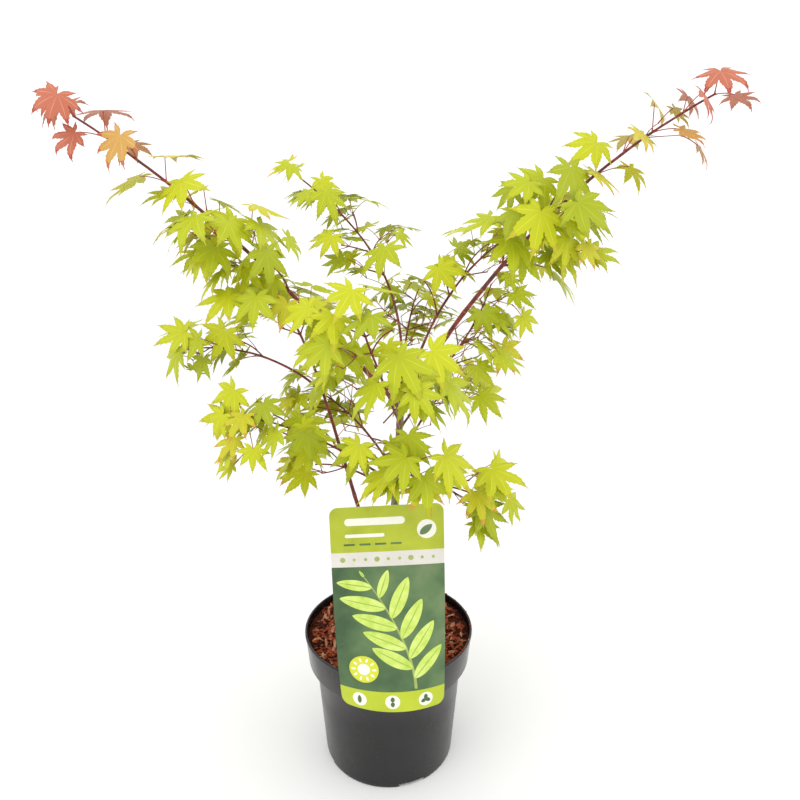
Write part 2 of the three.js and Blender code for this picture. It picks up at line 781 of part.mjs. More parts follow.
function cardSheet() {
  const rows = cardRows();
  const stride = CARD.columns + 1;
  const points = [];
  for (const outward of [CARD.thickness / 2, -CARD.thickness / 2]) {
    for (const { up, half } of rows) {
      for (let column = 0; column < stride; column += 1) {
        points.push(cardPoint(half * ((2 * column) / CARD.columns - 1), up, outward));
      }
    }
  }
  const faces = [];
  const back = rows.length * stride;
  const quad = (a, b, c, d) => faces.push(a, b, c, a, c, d);
  for (let row = 0; row < rows.length - 1; row += 1) {
    for (let column = 0; column < CARD.columns; column += 1) {
      const corner = row * stride + column;
      quad(corner, corner + 1, corner + stride + 1, corner + stride);
      quad(back + corner + stride, back + corner + stride + 1, back + corner + 1, back + corner);
    }
    const left = row * stride;
    const right = left + CARD.columns;
    quad(left, left + stride, back + left + stride, back + left);
    quad(right, back + right, back + right + stride, right + stride);
  }
  const head = (rows.length - 1) * stride;
  for (let column = 0; column < CARD.columns; column += 1) {
    quad(column, back + column, back + column + 1, column + 1);
    quad(head + column, head + column + 1, back + head + column + 1, back + head + column);
  }
  const geometry = new THREE.BufferGeometry().setFromPoints(points);
  geometry.setIndex(faces);
  return geometry;
}

// The tongue behind the card goes over the rim and down inside it.
function cardHook() {
  const { width, thickness, above, inside, drop } = HOOK;
  const front = -(POT.rimRadius + CARD.standOff + CARD.thickness / 2);
  const foot = POT.height + above;
  const back = inside - POT.rimRadius;
  const profile = new THREE.Shape([
    new THREE.Vector2(front, foot),
    new THREE.Vector2(back - thickness, foot),
    new THREE.Vector2(back - thickness, POT.height - drop),
    new THREE.Vector2(back, POT.height - drop),
    new THREE.Vector2(back, foot + thickness),
    new THREE.Vector2(front, foot + thickness),
  ]);
  const strip = new THREE.ExtrudeGeometry(profile, { depth: width, bevelEnabled: false });
  // The profile's own X and Y become the part's Y and Z, and its depth runs along X.
  strip.applyMatrix4(new THREE.Matrix4().makeBasis(vector(0, 1, 0), vector(0, 0, 1), vector(1, 0, 0)));
  strip.translate(CARD.footShift - width / 2, 0, 0);
  return strip;
}

function cardSolid() {
  return mainBody(solidOf(cardSheet()).add(solidOf(cardHook())));
}

// ---------------------------------------------------------------- assembly

const plant = new THREE.Group();

function addPart(name, solid, finish) {
  const mesh = new THREE.Mesh(geometryOf(solid), new THREE.MeshStandardMaterial(finish));
  mesh.name = name;
  plant.add(mesh);
}

const lines = limbLines();

addPart("pot", potSolid(), FINISHES.pot);
addPart("soil", soilSolid(), FINISHES.soil);
addPart("label_card", cardSolid(), FINISHES.card);

let taken = null;
for (const line of lines.values()) {
  const whole = line.parent ? limbSolid(line, 0) : trunkSolid(line);
  const solid = taken ? whole.subtract(taken) : whole;
  addPart(line.name, mainBody(solid), line.parent ? FINISHES.redBark : FINISHES.bark);
  const grown = limbSolid(line, GAP);
  taken = taken ? taken.add(grown) : grown;
}

let seed = SEED;
for (const line of lines.values()) {
  if (line.mass) {
    addPart(line.mass, massSolid(growMass(line, lines, seed)), FINISHES.foliage);
    seed += SEED;
  }
}

export default plant;
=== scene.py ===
"""A young Japanese maple in a round nursery pot, dressed for close viewing.

The growing rule, the pot, the compost and the plant label follow the same driving sizes as the
solid model. Those sizes are in millimetres, and every mesh is in metres.
"""

from __future__ import annotations

import json
import logging
from collections.abc import Callable, Sequence
from dataclasses import dataclass, field
from enum import Enum, IntEnum
from math import asin, atan2, ceil, copysign, cos, degrees, floor, pi, radians, sin, sqrt, tan

import bmesh
import bpy
import numpy as np
from bmesh.types import BMEdge, BMesh, BMFace, BMVert
from bpy.types import ID, Material, Node, NodeSocket, NodeTree, Object
from mathutils import Matrix, Vector, noise

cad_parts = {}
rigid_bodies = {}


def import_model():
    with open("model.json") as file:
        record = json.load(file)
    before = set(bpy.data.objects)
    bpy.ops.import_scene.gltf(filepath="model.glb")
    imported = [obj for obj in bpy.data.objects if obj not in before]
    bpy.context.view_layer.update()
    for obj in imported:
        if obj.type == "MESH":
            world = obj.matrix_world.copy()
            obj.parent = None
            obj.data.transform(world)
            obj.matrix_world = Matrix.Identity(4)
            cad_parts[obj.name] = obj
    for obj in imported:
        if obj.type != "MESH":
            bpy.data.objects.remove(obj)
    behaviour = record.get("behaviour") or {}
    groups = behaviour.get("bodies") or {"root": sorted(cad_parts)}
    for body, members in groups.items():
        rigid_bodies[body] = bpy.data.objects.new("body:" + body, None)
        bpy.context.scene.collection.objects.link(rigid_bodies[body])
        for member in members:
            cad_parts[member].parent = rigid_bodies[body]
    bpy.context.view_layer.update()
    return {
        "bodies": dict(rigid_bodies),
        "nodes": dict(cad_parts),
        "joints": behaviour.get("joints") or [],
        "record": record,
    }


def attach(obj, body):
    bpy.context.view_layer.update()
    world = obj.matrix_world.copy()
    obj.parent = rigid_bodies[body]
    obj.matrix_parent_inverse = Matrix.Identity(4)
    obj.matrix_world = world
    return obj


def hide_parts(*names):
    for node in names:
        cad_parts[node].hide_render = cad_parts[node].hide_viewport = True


LOG = logging.getLogger("maple")
MM = 0.001
BODY = "root"
NOISE_DETAIL = 4.0
NOISE_LOW, NOISE_HIGH = 0.3, 0.7  # nearly all of a noise texture's values lie between these
RAMP_START, RAMP_SPAN = 0.32, 0.36
Array = np.ndarray
Pair = tuple[float, float]
Triple = tuple[float, float, float]


# ------------ nodes and finishes


def linear_colour(code: str) -> tuple[float, float, float, float]:
    """Turns an sRGB hex colour into a linear one.

    Args:
        code: six hex digits after a hash, as in "#A9B41E".

    Returns:
        Linear red, green and blue, with an alpha of 1.
    """
    channels = [int(code[place : place + 2], 16) / 255 for place in (1, 3, 5)]
    red, green, blue = (
        value / 12.92 if value <= 0.04045 else ((value + 0.055) / 1.055) ** 2.4
        for value in channels
    )
    return red, green, blue, 1.0


def add_node(
    tree: NodeTree,
    kind: str,
    settings: dict[str | int, object] | None = None,
    links: dict[str | int, NodeSocket] | None = None,
) -> Node:
    """Adds one node.

    Args:
        tree: the nodes that it joins.
        kind: its type.
        settings: values for its inputs, or for its properties where no input has that name.
        links: sockets that feed its inputs.

    Returns:
        The new node.
    """
    node = tree.nodes.new(kind)
    for name, value in (settings or {}).items():
        if isinstance(name, int) or name in node.inputs:
            node.inputs[name].default_value = value
        else:
            setattr(node, name, value)
    for name, socket in (links or {}).items():
        tree.links.new(socket, node.inputs[name])
    return node


class Relief(Enum):
    """The kinds of fine relief that a surface has, each with the texture that draws it."""

    GRAIN = "ShaderNodeTexNoise"
    VEIN_NETWORK = "ShaderNodeTexVoronoi"


@dataclass(frozen=True)
class Finish:
    """A finish: what the surface is made of, and how that looks close by.

    One colour is plain. With more, soft patches run from the first colour to the last. Sizes are
    real millimetres. The stretch multiplies a pattern's size along X, Y and Z.
    """

    name: str
    colours: tuple[str, ...]
    roughness: Pair
    patch: float = 12.0
    stretch: Triple = (1.0, 1.0, 1.0)
    relief: Relief = Relief.GRAIN
    relief_size: float = 1.0
    relief_height: float = 0.05
    ior: float = 1.5
    specular: float = 0.5

    def build(self) -> Material:
        """Makes the material.

        Returns:
            The material, with its colour, roughness and relief from nodes.
        """
        material = bpy.data.materials.new(self.name)
        material.use_nodes = True
        tree = material.node_tree
        tree.nodes.clear()
        place = add_node(tree, "ShaderNodeTexCoord").outputs["Object"]
        patches = self.pattern(tree, place, self.patch, Relief.GRAIN)
        low, high = self.roughness
        spread = {"From Min": NOISE_LOW, "From Max": NOISE_HIGH, "To Min": low, "To Max": high}
        roughness = add_node(tree, "ShaderNodeMapRange", spread, {"Value": patches})
        relief = self.pattern(tree, place, self.relief_size, self.relief)
        depth = {"Distance": self.relief_height * MM, "Strength": 1.0}
        bump = add_node(tree, "ShaderNodeBump", depth, {"Height": relief})
        colour = linear_colour(self.colours[0])
        settings = {"Base Color": colour, "IOR": self.ior, "Specular IOR Level": self.specular}
        links = {"Roughness": roughness.outputs["Result"], "Normal": bump.outputs["Normal"]}
        if len(self.colours) > 1:
            links["Base Color"] = self.colour_of(tree, patches)
        shader = add_node(tree, "ShaderNodeBsdfPrincipled", settings, links)
        add_node(tree, "ShaderNodeOutputMaterial", None, {"Surface": shader.outputs["BSDF"]})
        return material

    def pattern(
        self, tree: NodeTree, place: NodeSocket, size: float, kind: Relief
    ) -> NodeSocket:
        """Adds a pattern whose features are a given number of millimetres across.

        Args:
            tree: the material's nodes.
            place: object coordinates.
            size: how far apart its features are.
            kind: which pattern it is.

        Returns:
            The pattern's value.
        """
        scale = tuple(1 / (size * MM * stretch) for stretch in self.stretch)
        mapping = add_node(tree, "ShaderNodeMapping", {"Scale": scale}, {"Vector": place})
        settings: dict[str | int, object] = {"Scale": 1.0}
        if kind is Relief.GRAIN:
            settings["Detail"] = NOISE_DETAIL
        else:
            settings["feature"] = "DISTANCE_TO_EDGE"
        texture = add_node(tree, kind.value, settings, {"Vector": mapping.outputs["Vector"]})
        return texture.outputs[0]

    def colour_of(
        self, tree: NodeTree, patches: NodeSocket
    ) -> NodeSocket:
        """Spreads the colours over the patches.

        Args:
            tree: the material's nodes.
            patches: the value that lays them out.

        Returns:
            The colour.
        """
        node = add_node(tree, "ShaderNodeValToRGB", None, {"Fac": patches})
        ramp = node.color_ramp
        last = len(self.colours) - 1
        while len(ramp.elements) <= last:
            ramp.elements.new(0.5)
        for i, code in enumerate(self.colours):
            ramp.elements[i].position = RAMP_START + RAMP_SPAN * i / last
            ramp.elements[i].color = linear_colour(code)
        return node.outputs["Color"]


# Polypropylene, injection moulded in a lightly blasted mould: a dark satin skin, a little dusty.
POT_SKIN = Finish(
    "polypropylene_moulded_satin", ("#0E0B0D", "#131012", "#191518"), (0.22, 0.34),
    patch=34, stretch=(1, 1, 2.2), relief_size=1.1, relief_height=0.012, specular=0.44,
)
# Composted bark and coir, sieved and damp: dull, and dark in its hollows.
COMPOST_DARK = Finish(
    "compost_damp_fines", ("#2A0D05", "#421B0D", "#552A17"), (0.85, 0.98), patch=4,
    relief_size=1.2, relief_height=0.6, specular=0.12,
)
# Pine bark, shredded: red-brown faces with a stringy grain.
CHIP_RED = Finish(
    "pine_bark_shredded", ("#662513", "#883D24", "#9C5436"), (0.75, 0.92), patch=3,
    relief_size=0.9, relief_height=0.3, specular=0.18,
)
# The same bark where its inner side shows: paler and drier.
CHIP_PALE = Finish(
    "pine_bark_inner_face", ("#925B41", "#AE7858", "#C29474"), (0.78, 0.94), patch=3,
    relief_size=0.9, relief_height=0.25, specular=0.18,
)
# Bark fines that have gone nearly black with water.
CHIP_DARK = Finish(
    "pine_bark_weathered", ("#300F06", "#441A0D", "#5C2816"), (0.78, 0.94), patch=3,
    relief_size=0.9, relief_height=0.3, specular=0.15,
)


class Ink(IntEnum):
    """The inks of the label, in the order of its materials."""

    STOCK = 0
    HEAD = 1
    STRIP = 2
    FIELD = 3
    FOOT = 4
    LEAF = 5
    RIB = 6
    BADGE = 7
    PALE = 8
    STALK = 9


def printed_card(name: str, *colours: str, patch: float = 26.0) -> Finish:
    """Offset-printed polypropylene card: smooth ink under a gloss varnish that dust has dulled."""
    return Finish(
        f"polypropylene_card_{name}", colours, (0.26, 0.38), patch=patch,
        relief_size=2.5, relief_height=0.02,
    )


INKS = {
    Ink.STOCK: printed_card("bare_stock", "#D9D8D0", "#E4E3DC"),
    Ink.HEAD: printed_card("head_ink", "#9FAA16", "#A9B41E", "#B2BC2A"),
    Ink.STRIP: printed_card("pale_ink", "#D2CDC4", "#DAD6CE"),
    Ink.FIELD: printed_card("picture_ink", "#33502C", "#46663A", "#5F7A4C", "#7D8464", patch=60),
    Ink.FOOT: printed_card("foot_ink", "#AFBE1A", "#B9C824"),
    Ink.LEAF: printed_card("leaf_ink", "#B4CF4C", "#C6DC66", "#D2E47C", patch=9),
    Ink.RIB: printed_card("rib_ink", "#8FB03C", "#9DBC48", patch=6),
    Ink.BADGE: printed_card("badge_ink", "#C9CE1E", "#D4D82C"),
    Ink.PALE: printed_card("white_ink", "#E6E6D6", "#EEEDE2"),
    Ink.STALK: printed_card("stalk_ink", "#93A552", "#A3B462", patch=6),
}

# Two-year-old maple bark on the trunk: grey-green, faintly striped along, with dull lenticels.
TRUNK_BARK = Finish(
    "maple_bark_two_years_old", ("#3F4A22", "#59632F", "#727444", "#8A8258"), (0.55, 0.75),
    patch=3.2, stretch=(1, 1, 4.5), relief_size=1.2, relief_height=0.22,
)
# One-year-old shoots: smooth and red-brown, with a thin wax that gives a soft gloss.
SHOOT_BARK = Finish(
    "maple_bark_one_year_old", ("#45100A", "#6C1E13", "#93361F"), (0.34, 0.52),
    patch=5, stretch=(1, 1, 2.5), relief_size=0.9, relief_height=0.05,
)
# Leaf scars and bud scales at the joints: dry cork, tan and dull.
JOINT_SCAR = Finish(
    "maple_bud_scar_cork", ("#6E3322", "#8A4A30", "#A06642"), (0.65, 0.85), patch=1.6,
    relief_size=0.8, relief_height=0.12,
)
# This year's wood and leaf stalks: thin, waxy and flushed with red.
STALK_RED = Finish(
    "maple_stalk_red", ("#7E241C", "#9C3C30", "#B25444"), (0.4, 0.55), patch=7,
    relief_size=0.8, relief_height=0.03,
)
# Leaf stalks in the shade keep green under the red.
STALK_GREEN = Finish(
    "maple_stalk_green", ("#84602E", "#94823A", "#9AA046"), (0.4, 0.55), patch=9,
    relief_size=0.8, relief_height=0.03,
)


# Seamless studio paper: matt white with the faintest tooth.
FLOOR_PAPER = Finish(
    "seamless_paper_white", ("#F2F2F1", "#F5F5F4"), (0.9, 0.95), patch=400, relief_size=3,
    relief_height=0.02, specular=0.1,
)


class LeafRole(IntEnum):
    """The parts of a leaf that differ in colour."""

    BLADE = 0
    TIP = 1
    UNDER = 2
    RIB = 3


def leaf_skin(name: str, colour: str) -> Finish:
    """Living maple leaf: a thin waxy skin, soft gloss, over a net of veins about 1 mm apart."""
    return Finish(
        f"maple_leaf_{name}", (colour,), (0.4, 0.58), patch=6, relief=Relief.VEIN_NETWORK,
        relief_size=2.0, relief_height=0.035, specular=0.26,
    )


class Tint(Enum):
    """Leaf colours by age: blade, tips of the lobes, underside and ribs.

    The undersides are a little brighter than in life, for the light through the thin blade.
    """

    GOLDEN_LIME = ("#BCC11A", "#B6AE24", "#C8CE34", "#D0D43C")
    LIME = ("#AFB81A", "#A8AC20", "#BEC732", "#C3CB38")
    DEEP_LIME = ("#9FAA18", "#989E20", "#B2BC30", "#B2BA34")
    ORANGE_EDGED = ("#C0BC20", "#C88F32", "#CAC636", "#D0CC40")
    GOLD = ("#C9BC48", "#C49A4E", "#C6B45C", "#DCCB6C")
    APRICOT = ("#C6984E", "#BA6046", "#C49064", "#D6B470")
    SALMON = ("#BC6B52", "#A6483E", "#C07C66", "#D4987A")

    def finishes(self) -> list[Finish]:
        """The four finishes of a leaf of this tint, in the order of LeafRole."""
        return [
            leaf_skin(f"{self.name.lower()}_{role.name.lower()}", self.value[role])
            for role in LeafRole
        ]


YOUNG = (Tint.APRICOT, Tint.SALMON)


# ------------ the growing rule

TRUNK_FOOT = 148.0
TRUNK_GAP = 0.3
LINE_STEPS = 24
ROOT_OFFSET = 0.5
END_WOOD = 1.2
NODE_GAP = 28.0
ROLL_JITTER = 46.0
UPWARD_SQUASH = 0.75
TRIES = 8
SEED = 7919
WORD = 0xFFFFFFFF
UPRIGHT = np.array([0.0, 0.0, 1.0])


@dataclass(frozen=True)
class Course:
    """The way that a limb or twig runs: degrees round from +X and above level, and radii."""

    length: float
    heading: float
    turn: float
    rise: float
    end_rise: float
    ease: float
    base: float
    tip: float


@dataclass(frozen=True)
class Limb:
    """A limb: where it leaves its parent, its course, and the foliage that grows on from it."""

    name: str
    course: Course
    parent: str | None = None
    at: float = 0.0
    bare: float = 1.0
    twig: float = 0.0
    twig_chance: float = 0.0
    twig_end: float = 0.0
    shrink: float = 0.0
    mass: str | None = None


def bough(
    name: str, at: float, bare: float, course: Course, twigs: tuple[float, float, float, float],
    parent: str = "trunk", mass: str = "",
) -> Limb:
    """A bough with foliage: its twigs' length, chance and end, and how far its leaves shrink."""
    return Limb(
        f"bough_{name}", course, parent, at, bare, *twigs, mass=f"foliage_{mass or name}"
    )


LIMBS = (
    Limb("trunk", Course(268, 4, -8, 88, 86, 1, 4.9, 3.4)),
    Limb(
        "stem_left", Course(387, 162, -8, 73, 29, 7.6, 2.9, 1.3), "trunk", 0.1, 0.76,
        60, 0.8, 0.95, 0.1, "foliage_left_stem",
    ),
    bough(
        "left", 0.985, 0.28, Course(391, -166, 6, 49, 33, 2.2, 2.8, 1.2),
        (50, 0.7, 0.6, 0.22), mass="left_whip",
    ),
    bough(
        "right", 1, 0.36, Course(403, -11, 1, 59, 28, 1.5, 2.9, 1.2),
        (58, 0.8, 0.62, 0.22), mass="right_whip",
    ),
    bough(
        "right_inner", 0.95, 0.28, Course(313, 56, -43, 66, 13, 1.35, 2.1, 1.3),
        (62, 1, 0.95, 0.2),
    ),
    bough(
        "middle", 0.985, 0.4, Course(302, 76, 104, 81, 37, 0.58, 2.1, 1.3), (56, 0.7, 0.9, 0.25)
    ),
    bough(
        "left_low", 0.67, 0.28, Course(170, 160, 20, 38, -9, 1, 1.9, 1.3), (48, 0.7, 0.9, 0.15),
        parent="stem_left",
    ),
    bough("left_lower", 0.66, 0.3, Course(184, -163, -1, 42, 17, 1.2, 2, 1.3),
          (54, 0.8, 0.95, 0.15)),
    bough("left_bottom", 0.6, 0.34, Course(100, 168, 2, 50, -8, 1, 1.8, 1.3), (46, 0.8, 0.95, 0.1)),
    bough("right_mid", 0.9, 0.3, Course(190, 36, -8, 45, 74, 3.8, 1.9, 1.3), (52, 1, 0.95, 0.15)),
    bough("front_left", 0.92, 0.3, Course(191, -106, 5, 45, 40, 1, 1.9, 1.3), (54, 1, 0.95, 0.1)),
    bough("front_right", 0.87, 0.3, Course(170, -93, 8, 40, 31, 1, 1.9, 1.3), (54, 0.8, 0.95, 0.1)),
    bough("front_low", 0.7, 0.3, Course(130, -88, 3, 50, 10, 1, 1.8, 1.3), (56, 1, 0.95, 0.1)),
    bough("back", 0.94, 0.32, Course(200, 88, -12, 52, 24, 1, 2, 1.3), (56, 0.8, 0.95, 0.15)),
    bough("back_left", 0.7, 0.3, Course(150, 128, 14, 42, 16, 1, 2, 1.3), (56, 0.8, 0.95, 0.15)),
    bough("back_right", 0.7, 0.3, Course(165, 66, -14, 46, 10, 1, 2, 1.3), (54, 0.8, 0.95, 0.15)),
    bough("right_low", 0.62, 0.3, Course(96, -22, -10, 36, -14, 1, 2, 1.3), (50, 0.8, 0.95, 0.1)),
)


@dataclass(frozen=True)
class TwigRule:
    """How side twigs leave a stem. The base is a share of the stem's radius."""

    base: float = 0.8
    tip: float = 1.15
    spread: float = 46.0
    levelling: float = 0.35
    stretch: float = 1.25
    least: float = 0.75
    spread_of_length: float = 0.5


@dataclass(frozen=True)
class LeafRule:
    """How a leaf is sized and hung. Its reach runs from the stalk to the middle lobe's tip."""

    reach: float = 38.0
    smallest: float = 0.78
    size_range: float = 0.34
    lobes: tuple[float, ...] = (1.0, 0.9, 0.68)
    lobe_angle: float = 39.0
    base_lobe: float = 0.42
    base_angle: float = 122.0
    notch: float = 0.33
    sag: float = 0.16
    droop: float = 10.0
    droop_range: float = 42.0
    roll_range: float = 60.0
    swing_range: float = 60.0
    stalk: float = 24.0
    stalk_range: float = 16.0
    stalk_spread: float = 62.0
    stalk_lift: float = 0.45
    facing: float = 24.0


@dataclass(frozen=True)
class Room:
    """The room that foliage keeps from its neighbours."""

    between: float = 1.0
    blade: float = 3.0
    stalk: float = 1.2
    centres: float = 15.0
    floor: float = 172.0
    card_half_width: float = 66.0
    card_back: float = -62.0
    card_top: float = 350.0


@dataclass(frozen=True)
class FineRule:
    """How the rule carries on to finer shoots, in the axils of the leaves."""

    chance: float = 0.8
    thinning: float = 2.4
    length: float = 15.0
    length_range: float = 17.0
    spread: float = 40.0
    base: float = 0.75
    tip: float = 0.5
    leaf_size: float = 0.8
    centres: float = 9.0
    end_room: float = 0.9
    over: float = 4.0


TWIG = TwigRule()
LEAF = LeafRule()
ROOM = Room()
FINE = FineRule()


class RandomNumbers:
    """An even spread of numbers from 0 to 1 that a seed always repeats."""

    def __init__(self, seed: int) -> None:
        """Starts at the seed."""
        self.state = seed & WORD

    def draw(self) -> float:
        """The next number."""
        self.state = (self.state + 0x6D2B79F5) & WORD
        value = ((self.state ^ (self.state >> 15)) * (self.state | 1)) & WORD
        value ^= (value + (value ^ (value >> 7)) * (value | 61)) & WORD
        return (value ^ (value >> 14)) / 4294967296

    def between(self, low: float, high: float) -> float:
        """A number in a range."""
        return low + (high - low) * self.draw()


@dataclass(frozen=True)
class Frames:
    """Places along a line, each with the ways forward, level across and up from it."""

    points: Array
    forward: Array
    across: Array
    up: Array


class Line:
    """The middle line of a limb or twig, laid out in even steps."""

    def __init__(self, start: Array, course: Course) -> None:
        """Lays the line out.

        Args:
            start: where it starts.
            course: the way that it runs.
        """
        self.course = course
        steps = self.forward((np.arange(LINE_STEPS) + 0.5) / LINE_STEPS)
        steps = np.cumsum(steps * (course.length / LINE_STEPS), axis=0)
        self.points = np.vstack([start, start + steps])

    def heading(self, shares: Array) -> Array:
        """The heading at shares of the line, in radians."""
        return np.radians(self.course.heading + self.course.turn * shares)

    def forward(self, shares: Array) -> Array:
        """The way forward at shares of the line."""
        course = self.course
        rise = np.radians(course.rise + (course.end_rise - course.rise) * shares**course.ease)
        heading = self.heading(shares)
        level = np.cos(rise)
        return np.stack([level * np.cos(heading), level * np.sin(heading), np.sin(rise)], axis=-1)

    def point(self, share: float) -> Array:
        """The place at a share of the line."""
        return self.frames(np.array([share])).points[0]

    def frames(self, shares: Array) -> Frames:
        """Places and ways along the line.

        Args:
            shares: shares of the line's length.

        Returns:
            One frame for each share.
        """
        places = shares * LINE_STEPS
        index = np.minimum(np.floor(places).astype(int), LINE_STEPS - 1)
        ends = self.points[index + 1] - self.points[index]
        points = self.points[index] + ends * (places - index)[:, None]
        forward = self.forward(shares)
        heading = self.heading(shares)
        across = np.stack([-np.sin(heading), np.cos(heading), np.zeros_like(heading)], axis=-1)
        return Frames(points, forward, across, np.cross(forward, across))

    def frame(self, share: float) -> Frames:
        """One frame, as single vectors."""
        frames = self.frames(np.array([share]))
        return Frames(frames.points[0], frames.forward[0], frames.across[0], frames.up[0])

    def radius(self, shares: Array | float) -> Array | float:
        """The radius at shares of the line."""
        return self.course.base + (self.course.tip - self.course.base) * shares

    def segments(self, start: float, end: float) -> Array:
        """The straight steps from one share to another, as pairs of ends."""
        first, last = floor(start * LINE_STEPS), ceil(end * LINE_STEPS)
        return np.stack([self.points[first:last], self.points[first + 1 : last + 1]], axis=1)


@dataclass
class Leaf:
    """A leaf: its stalk's root, its blade's middle, and the ways along, aside and out of it."""

    root: Array
    centre: Array
    along: Array
    aside: Array
    normal: Array
    reach: float
    share: float = 0.0
    seed: int = 0

    def __post_init__(self) -> None:
        """Lays out the blade as a fan of triangles, and the straight ways through the leaf."""
        rim = self.rim()
        following = np.roll(rim, -1, axis=0)
        middle = np.broadcast_to(self.centre, rim.shape)
        self.fan = np.stack([middle, rim, following], axis=1)
        ways = [np.stack([middle, rim], axis=1), np.stack([rim, following], axis=1)]
        self.ways = np.concatenate([*ways, np.stack([self.root, self.centre])[None]])

    def rim(self) -> Array:
        """The corners of the blade's outline."""
        along, aside, radius = BLADE_OUTLINE.T[:, :, None] * self.reach
        sag = LEAF.sag * radius * (radius / self.reach)
        return self.centre + along * self.along + aside * self.aside - sag * self.normal


def blade_outline() -> Array:
    """The outline of a blade, in shares of its reach.

    Returns:
        For each corner, its place along and across the middle lobe, and its distance.
    """
    last = len(LEAF.lobes) - 1
    corners = [(-LEAF.base_angle, LEAF.base_lobe)]
    for lobe in range(-last, last + 1):
        corners.append((lobe * LEAF.lobe_angle, LEAF.lobes[abs(lobe)]))
        if lobe < last:
            corners.append(((lobe + 0.5) * LEAF.lobe_angle, LEAF.notch))
    corners.append((LEAF.base_angle, LEAF.base_lobe))
    return np.array([
        (radius * cos(radians(angle)), radius * sin(radians(angle)), radius)
        for angle, radius in corners
    ])


BLADE_OUTLINE = blade_outline()


def towards_light(way: Array) -> Array:
    """Turns one of a leaf's ways towards the light, which comes from above the front."""
    turn = radians(LEAF.facing)
    return np.array([
        way[0],
        way[1] * cos(turn) - way[2] * sin(turn),
        way[1] * sin(turn) + way[2] * cos(turn),
    ])


def make_leaf(node: Array, way: Array, size: float, random: RandomNumbers) -> Leaf:
    """Hangs a leaf on a stalk from a node, outward and down, rolled a little to one side.

    Args:
        node: where its stalk starts.
        way: the way that the stalk sets off.
        size: a share of the full size.
        random: its random numbers.

    Returns:
        The leaf.
    """
    stalk = (LEAF.stalk + LEAF.stalk_range * random.draw()) * size * size
    droop = radians(LEAF.droop + LEAF.droop_range * random.draw())
    roll = radians(LEAF.roll_range * (random.draw() - 0.5))
    reach = LEAF.reach * size * (LEAF.smallest + LEAF.size_range * random.draw())
    heading = atan2(way[1], way[0]) + radians(LEAF.swing_range * (random.draw() - 0.5))
    stalk_way = way + LEAF.stalk_lift * UPRIGHT
    stalk_way = stalk_way / np.linalg.norm(stalk_way)
    root = node + ROOT_OFFSET * stalk_way
    level = np.array([cos(heading), sin(heading), 0.0])
    along = level * cos(droop) - UPRIGHT * sin(droop)
    flat_normal = level * sin(droop) + UPRIGHT * cos(droop)
    flat_aside = np.cross(flat_normal, along)
    normal = flat_normal * cos(roll) + flat_aside * sin(roll)
    along, normal = towards_light(along), towards_light(normal)
    return Leaf(root, root + stalk_way * stalk, along, np.cross(normal, along), normal, reach)


def crossed(first: Array, second: Array) -> Array:
    """The cross products of two arrays of vectors."""
    x, y, z = np.moveaxis(first, -1, 0)
    a, b, c = np.moveaxis(second, -1, 0)
    return np.stack([y * c - z * b, z * a - x * c, x * b - y * a], axis=-1)


def ways_pass(ways: Array, fan: Array) -> bool:
    """Whether any straight way passes through any triangle.

    Args:
        ways: pairs of ends.
        fan: triangles.

    Returns:
        True if one does.
    """
    start, way = ways[:, None, 0], (ways[:, 1] - ways[:, 0])[:, None]
    corner, edge = fan[None, :, 0], (fan[:, 1] - fan[:, 0])[None]
    other = (fan[:, 2] - fan[:, 0])[None]
    cross = crossed(way, other)
    scale = (edge * cross).sum(-1)
    level = np.abs(scale) < 1e-9
    scale = np.where(level, 1.0, scale)
    offset = start - corner
    turned = crossed(offset, edge)
    first = (offset * cross).sum(-1) / scale
    second = (way * turned).sum(-1) / scale
    along = (other * turned).sum(-1) / scale
    inside = (first >= 0) & (second >= 0) & (first + second <= 1)
    return bool(np.any(~level & inside & (along >= 0) & (along <= 1)))


def leaves_cross(leaf: Leaf, other: Leaf) -> bool:
    """Whether two leaves pass through each other."""
    room = leaf.reach + other.reach + LEAF.stalk + LEAF.stalk_range
    if np.linalg.norm(leaf.centre - other.centre) > room:
        return False
    return ways_pass(leaf.ways, other.fan) or ways_pass(other.ways, leaf.fan)


def node_roll(node: int, chance: RandomNumbers) -> float:
    """How far round the stem a node's pair is turned: a quarter turn from the last, or nearly."""
    return radians(90 * (node % 2) + ROLL_JITTER * (chance.draw() - 0.5))


